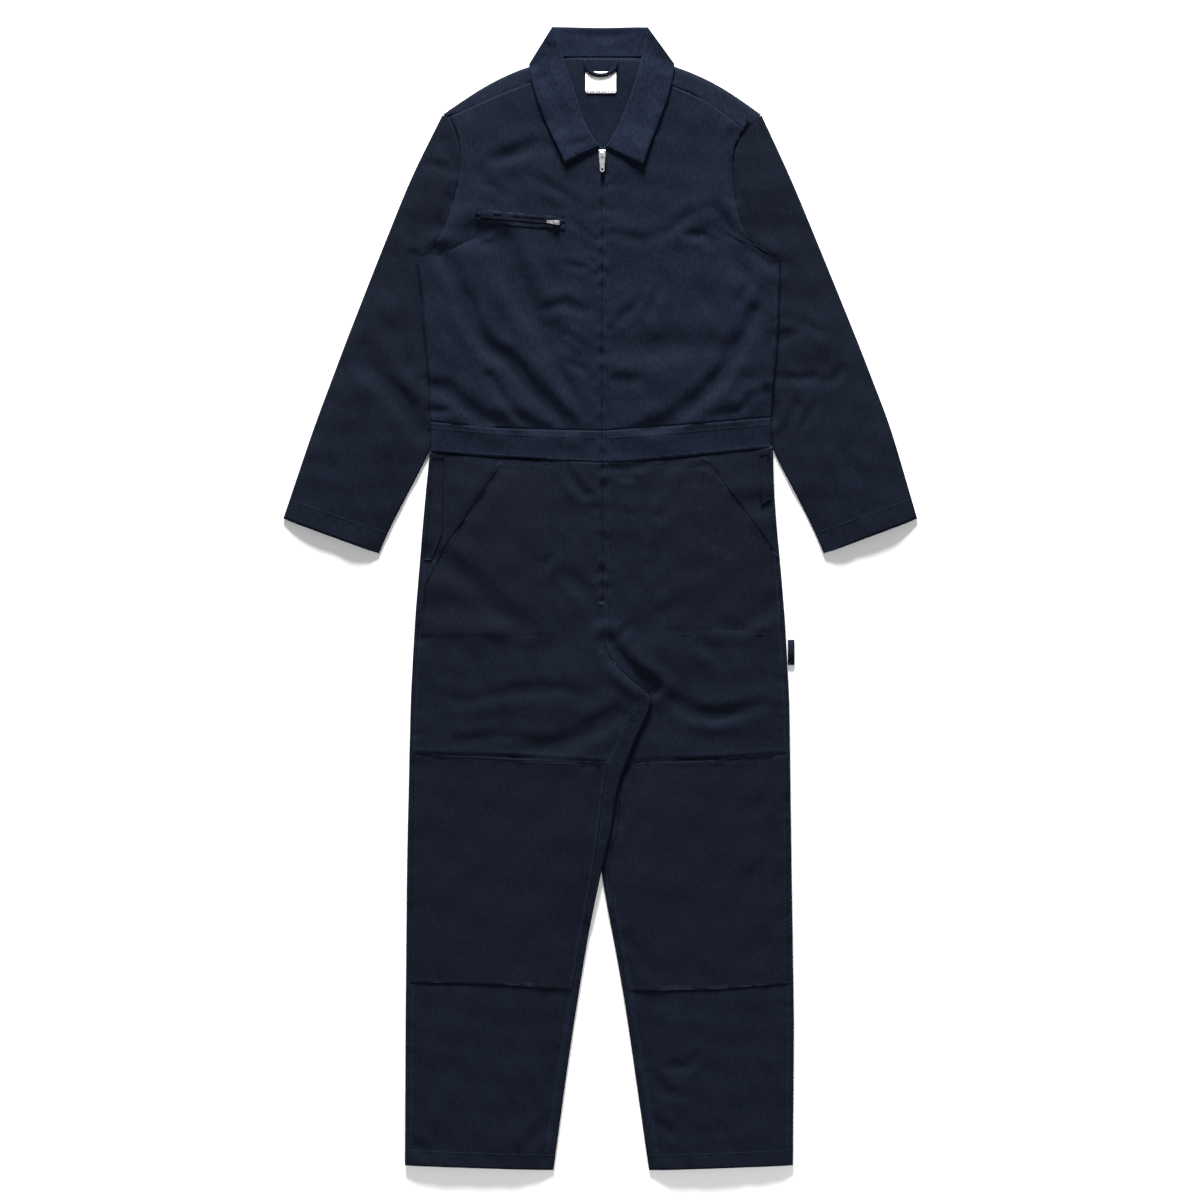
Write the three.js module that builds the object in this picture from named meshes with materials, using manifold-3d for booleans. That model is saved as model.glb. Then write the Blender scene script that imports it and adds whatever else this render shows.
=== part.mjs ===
// Boiler suit in heavy cotton drill, laid flat on its back with the front zip closed.
// Millimetres. +Z is up from the surface, +Y runs to the collar, and -X is the wearer's right.
// The origin is on the surface, at the middle of the garment's box.
import * as THREE from "three";
import { mergeVertices } from "three/addons/utils/BufferGeometryUtils.js";
import Module from "manifold-3d";

const { lerp, clamp, smoothstep } = THREE.MathUtils;
const wasm = await Module();
wasm.setup();

// Driving sizes.
const CLOTH = 1.4; // thickness of one layer of drill, seams included
const GAP = 0.3; // between two pieces, at a seam or one on the other
const PITCH = CLOTH + GAP; // from one layer to the next
const HALF_SEAM = GAP / 2;
const CENTRE = 3; // x of the centre front
const SIDE_ROWS = 9; // rows of a body panel from the waist to the armpit
const ARM_ROWS = 8; // rows along the armhole below the shoulder seam
const LEG_COLUMNS = 7;
const FRONT_COLUMNS = 9;
const SLEEVE_ROWS = 16;
const BASE_PUFF = 2.6; // air under the front at the centre front, the waist and the armholes
const LEAST_PUFF = 0.15; // air left under the front in the deepest trough and at a side seam
const EDGE_REACH = 18; // how far in from a side edge the air builds up
const SLEEVE_TOP = 2 * CLOTH + GAP; // height of a sleeve pressed flat
const TUCK_LIFT = SLEEVE_TOP + GAP + 0.3; // the back where it lies over a sleeve
const FALL_LIFT = PITCH + 0.2; // the back where it lies over the collar's fall
const LEG_LIFT = 5.2; // the right leg where it lies over the left one

// Makes rows with named columns out of a short table.
function table(columns, rows) {
  return rows.map((row) => Object.fromEntries(columns.map((name, k) => [name, row[k]])));
}

// Side edges of the body and the legs: x at each height, for the wearer's right and left.
const SIDE = table(["y", "right", "left"], [
  [-795, -273, 270],
  [-590, -272, 271.5],
  [-366, -270, 268],
  [-142, -265, 265],
  [-30, -259, 259],
  [54, -252, 252],
  [138, -245, 243.5],
  [205, -238, 242],
  [250, -237, 239.5],
  [300, -238, 242.5],
  [350, -244, 248],
  [420, -249, 250.5],
  [476, -256, 252],
]);

// Inner edges of the legs. They share the centre front and the crotch seam, down to its tip.
const INNER = table(["y", "right", "left"], [
  [-800, -65, 68.6],
  [-635, -42.6, 45],
  [-527, -25.5, 29],
  [-464, -15.7, 16],
  [-387, 1.4, 2.1],
  [-349, 8.4, -1],
  [-324, 16.5, 0],
  [-262, 22.5, 12],
  [-222, 40.3, 29],
  [-187, 53, 46],
  [-155, 70.4, 64],
  [-137, 72, 72],
  [-111, 40.3, 40.3],
  [-86, 15, 15],
  [-66, 3.8, 3.8],
  [190, CENTRE, CENTRE],
]);

// Sleeve edges. The inner one runs under the body from the armpit to below the waist.
const SLEEVE_OUTER = table(["y", "right", "left"], [
  [111, -443.8, 444.5],
  [240, -400.4, 407],
  [363, -354.2, 359.5],
  [481, -308, 311.5],
  [589, -264.6, 267],
  [677, -220.6, 226],
]);
const SLEEVE_INNER = table(["y", "right", "left"], [
  [62, -309.4, 313.6],
  [96, -295.4, 299.2],
  [148, -268, 273],
  [205, -238, 242],
  [262, -220, 224],
  [320, -209, 212],
  [380, -214, 216],
  [440, -236, 236],
  [476, -256, 252],
]);

// Waistband seams across the body.
const WAIST = table(["x", "top", "bottom"], [
  [-238, 247, 205],
  [-145, 238, 198.5],
  [3, 234.5, 189.7],
  [114, 242.2, 198.8],
  [242, 253, 212],
]);

// Armholes from the shoulder fold, by the end of the shoulder seam, to the armpit.
const ARMHOLE = {
  right: [[-220.6, 677], [-210.4, 674], [-197.5, 645.7], [-195, 604.5], [-202.7, 563.5], [-215.6, 522.3],
    [-225, 497], [-256, 476]],
  left: [[226, 677], [201.6, 656], [191.4, 646], [184.8, 604.5], [188.7, 563.5], [199, 515],
    [215, 495], [252, 476]],
};
// Shoulder folds from the armhole to the neck, and the shoulder seams that lie in front of them.
const SHOULDER_FOLD = {
  right: [[-220.6, 677], [-174.4, 709.8], [-133.4, 732.9], [-98, 745.5], [-58, 756.5]],
  left: [[226, 677], [196, 699.6], [155.4, 725.2], [103, 745.8], [64, 756.5]],
};
const SHOULDER_SEAM = {
  right: [[-210.4, 674], [-154, 699.6], [-92.4, 723.7], [-68, 733]],
  left: [[201.6, 656], [149.8, 696.9], [101.5, 716.1], [74, 727]],
};
// Front necklines, under the collar, from the shoulder seam to the centre front.
const NECKLINE = {
  right: [[-68, 733], [-61, 704], [-46, 677], [-27, 652], [-7, 634.5], [CENTRE, 631]],
  left: [[74, 727], [66.5, 704], [51.5, 676], [32.5, 651], [13, 633], [CENTRE, 631]],
};

// The largest folds: a soft ridge or trough from one point, by another, to a third.
const FOLD_COLUMNS = ["x1", "y1", "x2", "y2", "x3", "y3", "width", "height"];
const FOLDS = table(FOLD_COLUMNS, [
  [-210, 477, -160, 340, -52, 246, 16, -3.4],
  [-154, 502, -83, 394, -25, 296, 15, -2.6],
  [-237, 302, -154, 254, -102, 246, 12, -2.4],
  [-186, 472, -122, 365, -58, 272, 16, 4],
  [-236, 432, -194, 326, -112, 262, 16, 4.4],
  [-144, 615, -118, 626, -92, 640, 12, -1.6],
  [211, 389, 155, 296, 94, 246, 16, -3.6],
  [190, 402, 128, 318, 72, 264, 15, 3.6],
  [234, 352, 196, 292, 128, 254, 15, 4.2],
  [78, 348, 110, 352, 140, 358, 11, -1.6],
  [125, 512, 145, 503, 165, 492, 11, -1.5],
  [176, 512, 195, 482, 207, 450, 13, -2.2],
  [-329, 358, -302, 296, -272, 256, 16, -4.5],
  [-350, 330, -322, 276, -296, 236, 14, 3.2],
  [253, 312, 304, 307, 340, 327, 14, -4.5],
  [253, 373, 274, 381, 300, 392, 13, -3.4],
  [294, 246, 312, 268, 330, 300, 13, -3],
  [262, 344, 300, 345, 336, 358, 13, 3.4],
  [-230, 54, -160, -2, -78, -66, 14, -3.2],
  [-56, 188, -38, 165, -20, 144, 11, -1.6],
  [109, 113, 132, 130, 154, 146, 11, -1.8],
  [137, 102, 160, 82, 193, 65, 12, -2.2],
  [84, -19, 154, -47, 250, -25, 14, -3],
  [88, -52, 160, -78, 246, -58, 14, 2.6],
  [94, -159, 130, -165, 168, -165, 12, -2.2],
  [-80, -206, -30, -190, 21, -169, 14, -3.2],
  [-92, -176, -40, -160, 8, -142, 14, 3],
  [-239, -335, -230, -352, -221, -370, 12, -2.4],
  [38, -482, 58, -502, 80, -523, 13, -2.6],
  [87, -653, 110, -656, 132, -657, 12, -2.2],
  [-101, -778, -88, -758, -74, -738, 12, -2.6],
]);

// Reads one column of a table at a place along another, straight between its rows.
function readAt(rows, key, place, column) {
  const last = rows.length - 1;
  const next = clamp(rows.findIndex((row) => row[key] >= place), 1, last);
  const k = place > rows[last][key] ? last : next;
  const t = clamp((place - rows[k - 1][key]) / (rows[k][key] - rows[k - 1][key]), 0, 1);
  return lerp(rows[k - 1][column], rows[k][column], t);
}

// Distance in plan from a point to a chain of straight stretches.
function distanceTo(x, y, chain) {
  let nearest = Infinity;
  for (let k = 1; k < chain.length; k += 1) {
    const [ax, ay] = chain[k - 1];
    const [bx, by] = chain[k];
    const long = (bx - ax) ** 2 + (by - ay) ** 2;
    const t = clamp(((x - ax) * (bx - ax) + (y - ay) * (by - ay)) / long, 0, 1);
    nearest = Math.min(nearest, Math.hypot(x - lerp(ax, bx, t), y - lerp(ay, by, t)));
  }
  return nearest;
}

const chainOf = (rows, column, low = -Infinity, high = Infinity) =>
  rows.filter((row) => row.y >= low && row.y <= high).map((row) => [row[column], row.y]);
const sideOf = (x) => (x < CENTRE ? "right" : "left");
const outward = { right: -1, left: 1 };

// The edges at which the front and the back of each limb meet, so that no air lies there.
const CROTCH_Y = -66;
const EDGES = {};
for (const side of ["right", "left"]) {
  EDGES[side] = {
    body: [chainOf(SIDE, side, 200), SHOULDER_FOLD[side]],
    leg: [chainOf(SIDE, side, -800, 210), chainOf(INNER, side, -800, -137)],
    sleeve: [chainOf(SLEEVE_OUTER, side), chainOf(SLEEVE_INNER, side)],
  };
}

function foldAt(x, y) {
  let height = 0;
  for (const fold of FOLDS) {
    const chain = [[fold.x1, fold.y1], [fold.x2, fold.y2], [fold.x3, fold.y3]];
    height += fold.height * Math.exp(-((distanceTo(x, y, chain) / fold.width) ** 2));
  }
  return height;
}

// Air under the upper layer: none at a side edge, most in the middle, with the folds added.
const EXTRA_PUFF = { body: 1.6, leg: 3.6, sleeve: 3.6 };
function puffAt(x, y, side, zone) {
  const edge = Math.min(...EDGES[side][zone].map((chain) => distanceTo(x, y, chain)));
  const fromCentre = y > CROTCH_Y ? Math.abs(x - CENTRE) : Infinity;
  const fromWaist = zone === "leg" ? 205 - y : Infinity;
  const fromArmhole = zone === "sleeve" ? distanceTo(x, y, ARMHOLE[side]) : Infinity;
  const free = Math.min(fromCentre, fromWaist, fromArmhole);
  const most = BASE_PUFF + EXTRA_PUFF[zone] * smoothstep(free, 10, 80);
  const folds = foldAt(x, y) * smoothstep(edge, 3, 26) * smoothstep(fromCentre, 12, 36);
  return most * (1 - Math.exp(-edge / EDGE_REACH)) + folds;
}

// Underside of the back: on the surface, but over the tucked sleeves and the collar's fall.
const TUCK_CLEAR = 16;
const TUCK_RAMP = 46;
const TUCK_TOP = 520;
const ARMPIT_FROM = 380;
const ARMPIT_HALF = 212;
const FALL_Y = 722;
const FALL_HALF = 112;
const FALL_RAMP = 36;
function backLow(x, y) {
  const side = sideOf(x);
  const edge = y > ARMPIT_FROM ? ARMPIT_HALF : Math.abs(readAt(SLEEVE_INNER, "y", y, side));
  const inside = edge - Math.abs(x);
  const under = 1 - smoothstep(inside, TUCK_CLEAR, TUCK_CLEAR + TUCK_RAMP);
  const tuck = TUCK_LIFT * under * (1 - smoothstep(y, TUCK_TOP, TUCK_TOP + 40));
  const across = 1 - smoothstep(Math.abs(x - CENTRE), FALL_HALF, FALL_HALF + FALL_RAMP);
  const fall = FALL_LIFT * across * smoothstep(y, FALL_Y - FALL_RAMP, FALL_Y);
  return Math.max(tuck, fall);
}

// Underside of the front of the body and the waistband.
function frontLow(x, y) {
  return backLow(x, y) + PITCH + Math.max(puffAt(x, y, sideOf(x), "body"), LEAST_PUFF);
}

// The wearer's right leg rises over the left one beside the crotch.
function crossing(x, y) {
  const hidden = readAt(INNER, "y", y, "left") - 16;
  const across = smoothstep(x, hidden - 60, hidden);
  return LEG_LIFT * across * smoothstep(-y, 68, 126) * (1 - smoothstep(-y, 400, 470));
}
const legBackLow = {
  right: (x, y) => Math.max(backLow(x, y), crossing(x, y)),
  left: backLow,
};
const UNDER_CROSSING = { from: 14, to: 44 };
const legFrontLow = {
  right: (x, y) => legBackLow.right(x, y) + PITCH + Math.max(puffAt(x, y, "right", "leg"), LEAST_PUFF),
  left: (x, y) => {
    const clear = x - readAt(INNER, "y", y, "right");
    const pressed = y < -128 && y > -430 ? smoothstep(clear, UNDER_CROSSING.from, UNDER_CROSSING.to) : 1;
    return backLow(x, y) + PITCH + Math.max(puffAt(x, y, "left", "leg") * pressed, LEAST_PUFF);
  },
};

// Underside of a sleeve's upper layer, pressed flat where the body lies on it.
const PRESSED_BESIDE = 26;
function sleeveUpperLow(side) {
  return (x, y) => {
    const out = outward[side] * (x - readAt(SIDE, "y", y, side));
    const free = smoothstep(out, PRESSED_BESIDE, PRESSED_BESIDE + 34);
    const loose = Math.max(smoothstep(y, TUCK_TOP, TUCK_TOP + 40), free);
    return PITCH + Math.max(puffAt(x, y, side, "sleeve") * loose, 0);
  };
}

// Even steps along a chain of points, straight between them or on a smooth curve through them.
function along(points, steps, smooth = false) {
  const place = points.map(([x, y]) => new THREE.Vector3(x, y, 0));
  let curve = new THREE.CatmullRomCurve3(place, false, "centripetal");
  if (!smooth) {
    curve = new THREE.CurvePath();
    for (let k = 1; k < place.length; k += 1) curve.add(new THREE.LineCurve3(place[k - 1], place[k]));
  }
  return curve.getSpacedPoints(steps).map((point) => [point.x, point.y]);
}

// The plan of a panel: rows of points between its four edges. The lower edge's curve fades by a power.
function planOf(bottom, top, first, last, power = 1) {
  const rows = first.length - 1;
  const columns = bottom.length - 1;
  return first.map((start, i) => bottom.map((low, j) => [0, 1].map((k) => {
    const u = j / columns;
    const v = i / rows;
    const lowBow = low[k] - lerp(first[0][k], last[0][k], u);
    const topBow = top[j][k] - lerp(first[rows][k], last[rows][k], u);
    return lerp(start[k], last[i][k], u) + lowBow * (1 - v) ** power + topBow * v;
  })));
}

// Draws the edges of a plan in, square to themselves, to leave the gap at the seams.
function drawnIn(plan, amount) {
  const lastRow = plan.length - 1;
  const lastColumn = plan[0].length - 1;
  const result = plan.map((row) => row.map((point) => [...point]));
  const shift = (i, j, di, dj) => {
    const before = di ? plan[i][Math.max(j - 1, 0)] : plan[Math.max(i - 1, 0)][j];
    const after = di ? plan[i][Math.min(j + 1, lastColumn)] : plan[Math.min(i + 1, lastRow)][j];
    const inner = plan[i + di][j + dj];
    const long = Math.hypot(after[0] - before[0], after[1] - before[1]);
    const square = [(before[1] - after[1]) / long, (after[0] - before[0]) / long];
    const inwards = square[0] * (inner[0] - plan[i][j][0]) + square[1] * (inner[1] - plan[i][j][1]);
    result[i][j][0] += Math.sign(inwards) * square[0] * amount;
    result[i][j][1] += Math.sign(inwards) * square[1] * amount;
  };
  for (let j = 0; j <= lastColumn; j += 1) {
    shift(0, j, 1, 0);
    shift(lastRow, j, -1, 0);
  }
  for (let i = 0; i <= lastRow; i += 1) {
    shift(i, 0, 0, 1);
    shift(i, lastColumn, 0, -1);
  }
  return result;
}

const raised = (plan, height) => plan.map((row) => row.map(([x, y]) => [x, y, height(x, y)]));

// A closed body from triangles of points, turned so that its faces point out.
function bodyOf(points, faces) {
  const [a, b, c] = [new THREE.Vector3(), new THREE.Vector3(), new THREE.Vector3()];
  let volume = 0;
  for (const face of faces) {
    a.set(...points[face[0]]);
    b.set(...points[face[1]]);
    c.set(...points[face[2]]);
    volume += a.dot(b.cross(c));
  }
  const turned = volume < 0 ? faces.map(([p, q, r]) => [p, r, q]) : faces;
  const geometry = new THREE.BufferGeometry();
  const places = turned.flat().flatMap((k) => points[k]);
  geometry.setAttribute("position", new THREE.Float32BufferAttribute(places, 3));
  return geometry;
}

// A cloth wall between two skins of points. A ring closes on itself; a cell that isn't kept is left out.
function wallOf(under, over, { ring = false, keep = () => true } = {}) {
  const columns = under[0].length;
  const spans = ring ? columns : columns - 1;
  const offset = under.length * columns;
  const at = (i, j) => i * columns + (j % columns);
  const isKept = (i, j) => {
    const inRows = i >= 0 && i < under.length - 1;
    const inColumns = ring || (j >= 0 && j < spans);
    return inRows && inColumns && keep(i, j);
  };
  const faces = [];
  const quad = (a, b, c, d) => faces.push([a, b, c], [a, c, d]);
  const rim = (a, b) => quad(a, b, b + offset, a + offset);
  for (let i = 0; i < under.length - 1; i += 1) {
    for (let j = 0; j < spans; j += 1) {
      if (!isKept(i, j)) continue;
      const [a, b, c, d] = [at(i, j), at(i, j + 1), at(i + 1, j + 1), at(i + 1, j)];
      quad(a, d, c, b);
      quad(a + offset, b + offset, c + offset, d + offset);
      if (!isKept(i - 1, j)) rim(a, b);
      if (!isKept(i, j + 1)) rim(b, c);
      if (!isKept(i + 1, j)) rim(c, d);
      if (!isKept(i, j - 1)) rim(d, a);
    }
  }
  return bodyOf([...under.flat(), ...over.flat()], faces);
}

// A panel is its plan and the height of its underside. Its wall may be raised, to lay a piece on it.
const panelOf = (plan, low) => ({ plan: drawnIn(plan, HALF_SEAM), low });
function panelWall(panel, raise = 0, thickness = CLOTH) {
  const under = raised(panel.plan, (x, y) => panel.low(x, y) + raise);
  const over = raised(panel.plan, (x, y) => panel.low(x, y) + raise + thickness);
  return wallOf(under, over);
}

function manifoldOf(geometry) {
  const bare = geometry.clone();
  bare.deleteAttribute("normal");
  bare.deleteAttribute("uv");
  const merged = mergeVertices(bare, 1e-4);
  const triVerts = Uint32Array.from(merged.index.array);
  const vertProperties = merged.attributes.position.array;
  return new wasm.Manifold(new wasm.Mesh({ numProp: 3, vertProperties, triVerts }));
}

function geometryOf(manifold) {
  const mesh = manifold.getMesh();
  const geometry = new THREE.BufferGeometry();
  geometry.setAttribute("position", new THREE.Float32BufferAttribute(mesh.vertProperties, 3));
  geometry.setIndex(Array.from(mesh.triVerts));
  return geometry;
}

// A piece laid on a panel: the panel's own wall moved out and cut to the piece's outline.
const PRISM_DEPTH = 60;
function laidOn(panel, outline, raise = PITCH, thickness = CLOTH) {
  const prism = new THREE.ExtrudeGeometry(outline, { depth: PRISM_DEPTH, bevelEnabled: false });
  prism.translate(0, 0, -PRISM_DEPTH / 4);
  return geometryOf(manifoldOf(panelWall(panel, raise, thickness)).intersect(manifoldOf(prism)));
}
const outlineOf = (points) => new THREE.Shape(points.map(([x, y]) => new THREE.Vector2(x, y)));

// Edges of the panels, as steps that the pieces on both sides of a seam share.
const waistX = (side, step, steps) => lerp(readAt(SIDE, "y", 250, side), CENTRE, step / steps);
function waistEdge(column, side, steps) {
  return Array.from({ length: steps + 1 }, (_, k) => {
    const x = waistX(side, k, steps);
    return [x, readAt(WAIST, "x", x, column)];
  });
}
function armholeOf(side) {
  return [ARMHOLE[side][0], ...along(ARMHOLE[side].slice(1), ARM_ROWS, true)];
}
function sideRise(side) {
  const low = readAt(WAIST, "x", readAt(SIDE, "y", 250, side), "top");
  const high = ARMHOLE[side].at(-1)[1];
  return Array.from({ length: SIDE_ROWS }, (_, k) => {
    const y = lerp(low, high, k / SIDE_ROWS);
    return [readAt(SIDE, "y", y, side), y];
  });
}
const bodyEdge = (side) => [...sideRise(side), ...armholeOf(side).reverse()];

// Front: from the side seam and the armhole to the centre front.
function frontPanel(side) {
  const edge = bodyEdge(side).slice(0, -1);
  const shoulder = along(SHOULDER_SEAM[side], FRONT_COLUMNS - NECKLINE[side].length + 1);
  const top = [...shoulder.slice(0, -1), ...NECKLINE[side]];
  const bottom = waistEdge("top", side, FRONT_COLUMNS);
  const [low, high] = [bottom.at(-1)[1], top.at(-1)[1]];
  const centre = edge.map(([, y]) => {
    const share = (y - edge[0][1]) / (edge.at(-1)[1] - edge[0][1]);
    return [CENTRE, lerp(low, high, share)];
  });
  return panelOf(planOf(bottom, top, edge, centre), frontLow);
}

// Back: one panel that wraps forward over both shoulders to the shoulder seams.
const SHOULDER_COLUMNS = 4;
const NECK_COLUMNS = 8;
const BACK_COLUMNS = 2 * SHOULDER_COLUMNS + NECK_COLUMNS;
const FOLD_ROUND = 0.9; // how far the two faces at a fold stay behind its edge
function backPanel() {
  const neck = [SHOULDER_FOLD.right.at(-1), SHOULDER_FOLD.left.at(-1)];
  const top = [
    ...along(SHOULDER_FOLD.right, SHOULDER_COLUMNS),
    ...along(neck, NECK_COLUMNS).slice(1, -1),
    ...along(SHOULDER_FOLD.left, SHOULDER_COLUMNS).reverse(),
  ];
  const waist = [waistX("right", 0, 1), waistX("left", 0, 1)];
  const bottom = top.map((_, j) => {
    const x = lerp(waist[0], waist[1], j / BACK_COLUMNS);
    return [x, readAt(WAIST, "x", x, "top")];
  });
  return panelOf(planOf(bottom, top, bodyEdge("right"), bodyEdge("left")), backLow);
}
function backWall(panel) {
  const last = panel.plan.length - 1;
  const isShoulder = (j) => j <= SHOULDER_COLUMNS || j >= BACK_COLUMNS - SHOULDER_COLUMNS;
  const seam = Array.from({ length: BACK_COLUMNS + 1 }, () => [0, 0, 0]);
  for (const [side, from, step] of [["right", 0, 1], ["left", BACK_COLUMNS, -1]]) {
    along(SHOULDER_SEAM[side], SHOULDER_COLUMNS).forEach(([x, y], k) => {
      seam[from + step * k] = [x, y + HALF_SEAM, frontLow(x, y)];
    });
  }
  const fold = panel.plan[last];
  const [behind, within] = [FOLD_ROUND, CLOTH + FOLD_ROUND].map((by) => drawnIn(panel.plan, by)[last]);
  const edge = drawnIn(panel.plan, CLOTH)[last];
  const middle = ([x, y]) => [x, y, (backLow(x, y) + CLOTH + frontLow(x, y)) / 2];
  const at = ([x, y], height) => [x, y, height(x, y)];
  const under = raised(panel.plan, backLow);
  const over = raised(panel.plan, (x, y) => backLow(x, y) + CLOTH);
  under[last] = fold.map((point, j) => at(isShoulder(j) ? behind[j] : point, backLow));
  over[last] = fold.map((point, j) => at(isShoulder(j) ? within[j] : point, (x, y) => backLow(x, y) + CLOTH));
  under.push(fold.map(middle), behind.map((point) => at(point, (x, y) => frontLow(x, y) + CLOTH)));
  over.push(edge.map(middle), within.map((point) => at(point, frontLow)));
  under.push(seam.map(([x, y, z]) => [x, y, z + CLOTH]));
  over.push(seam);
  const keep = (i, j) => i < last || (isShoulder(j) && isShoulder(j + 1));
  return wallOf(under, over, { keep });
}

// Waistband: two rows between its seams, in one piece behind and two in front.
function bandPlan(columns) {
  const bottom = columns.map((x) => [x, readAt(WAIST, "x", x, "bottom")]);
  const top = columns.map((x) => [x, readAt(WAIST, "x", x, "top")]);
  const middle = (k) => [columns.at(k), (bottom.at(k)[1] + top.at(k)[1]) / 2];
  return planOf(bottom, top, [bottom[0], middle(0), top[0]], [bottom.at(-1), middle(-1), top.at(-1)]);
}
const frontColumns = (side) => waistEdge("top", side, FRONT_COLUMNS).map(([x]) => x);
function backColumns() {
  const ends = [waistX("right", 0, 1), waistX("left", 0, 1)];
  return Array.from({ length: BACK_COLUMNS + 1 }, (_, k) => lerp(ends[0], ends[1], k / BACK_COLUMNS));
}

// Leg rows: the height of each at the outer edge and at the inner one.
const LEG_ROWS = table(["outer", "inner"], [
  [160, 140], [115, 90], [70, 45], [25, 0], [-18, -35], [-48, -66], [-80, -86], [-110, -111], [-142, -137],
  [-178, -155], [-216, -187], [-255, -222], [-296, -262], [-338, -324], [-380, -349], [-425, -387],
  [-478, -440], [-533, -500], [-590, -560], [-645, -625], [-700, -690], [-750, -745],
]);
const HEM = { outer: -793, inner: -800 };
function legPlan(side) {
  const rows = [...LEG_ROWS, HEM];
  const top = Array.from({ length: LEG_COLUMNS + 1 }, (_, k) => {
    const x = lerp(readAt(SIDE, "y", 205, side), CENTRE, k / LEG_COLUMNS);
    return [x, readAt(WAIST, "x", x, "bottom")];
  });
  const outer = [top[0], ...rows.map((row) => [readAt(SIDE, "y", row.outer, side), row.outer])];
  const inner = [top.at(-1), ...rows.map((row) => [readAt(INNER, "y", row.inner, side), row.inner])];
  return planOf(top, along([outer.at(-1), inner.at(-1)], LEG_COLUMNS), outer, inner);
}

// Sleeve: a flattened tube, in rings from the armhole to the cuff.
const CAP_FADE = 8; // how soon the rings straighten below the armhole
function sleevePlan(side) {
  const edge = (rows, from, to) => Array.from({ length: SLEEVE_ROWS + 1 }, (_, k) => {
    const y = lerp(from, to, k / SLEEVE_ROWS);
    return [readAt(rows, "y", y, side), y];
  });
  const outer = edge(SLEEVE_OUTER, SLEEVE_OUTER.at(-1).y, SLEEVE_OUTER[0].y);
  const inner = edge(SLEEVE_INNER, SLEEVE_INNER.at(-1).y, SLEEVE_INNER[0].y);
  const cuff = along([outer.at(-1), inner.at(-1)], ARM_ROWS + 1);
  return drawnIn(planOf(armholeOf(side), cuff, outer, inner, CAP_FADE), HALF_SEAM);
}
function sleeveWall(side) {
  const plan = sleevePlan(side);
  const upperLow = sleeveUpperLow(side);
  const edges = { outer: plan, inner: drawnIn(plan, CLOTH) };
  const faces = { outer: drawnIn(plan, FOLD_ROUND), inner: drawnIn(plan, CLOTH + FOLD_ROUND) };
  const ring = (skin, below, above) => plan.map((row, i) => {
    const last = row.length - 1;
    const face = row.map((point, j) => (j === 0 || j === last ? faces[skin][i][j] : point));
    const under = face.map(([x, y]) => [x, y, below]);
    const over = face.map(([x, y]) => [x, y, above(x, y)]).reverse();
    const fold = [last, 0].map((j) => [...edges[skin][i][j], SLEEVE_TOP / 2]);
    return [...under, fold[0], ...over, fold[1]];
  });
  const outer = ring("outer", 0, (x, y) => upperLow(x, y) + CLOTH);
  const inner = ring("inner", CLOTH, upperLow);
  return wallOf(outer, inner, { ring: true });
}

// Collar: stand and leaf in one folded wall, in sections from one front end round the neck to the other.
// Each section runs from the neck seam up the stand to the roll line and down the leaf to its edge.
const COLLAR_COLUMNS = ["kind", "seamX", "seamY", "rollX", "rollY", "edgeX", "edgeY"];
const COLLAR_SIDES = {
  right: table(COLLAR_COLUMNS, [
    ["front", -5.5, 636, -0.8, 633.6, -49.3, 608.7],
    ["front", -25.3, 653, -11, 646, -62, 637],
    ["front", -44.3, 678, -23, 668, -76, 664],
    ["front", -59.2, 704.5, -34, 707, -90, 702],
    ["front", -63.5, 722, -43, 731, -96, 724],
    ["front", -63.7, 738, -52, 760, -98.8, 740],
    ["front", -61.5, 744, -60, 782, -99.2, 744.5],
    ["front", -58.5, 750, -66, 799.5, -98.8, 747.5],
    ["turn", -55.5, 757.5, -66.5, 800.5, -99.2, 748],
    ["back", -54.2, 757.2, -66, 800, -98.8, 747],
    ["back", -40, 757.1, -46, 799.8, -62, 738],
    ["back", -20, 757.1, -21, 799, -28, 736],
  ]),
  left: table(COLLAR_COLUMNS, [
    ["front", 11.5, 634.8, 8, 632.4, 60.2, 605.5],
    ["front", 30.8, 652.2, 17, 645, 70, 636],
    ["front", 49.8, 677, 28.5, 668, 84, 668],
    ["front", 64.7, 704.5, 43, 705, 97, 706],
    ["front", 69, 722, 51, 730, 102, 728],
    ["front", 68.2, 738, 58, 757, 103.8, 740],
    ["front", 66.6, 744, 63, 780, 104.2, 744.5],
    ["front", 64.5, 750, 66, 799, 103.8, 747.5],
    ["turn", 61.5, 757.5, 66.5, 800, 104.2, 748],
    ["back", 60.2, 757.2, 66, 799.5, 103.8, 747],
    ["back", 46, 757.1, 48, 799.8, 66, 738],
    ["back", 24, 757.1, 26, 799, 32, 736],
  ]),
};
const COLLAR_MIDDLE = table(COLLAR_COLUMNS, [["back", 3, 757.1, 3, 798.6, 3, 736]]);
const LEAF_CLEAR = 0.7; // between the stand and the leaf folded over it
const STAND_BACK = FALL_LIFT; // underside of the stand behind the neck
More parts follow.
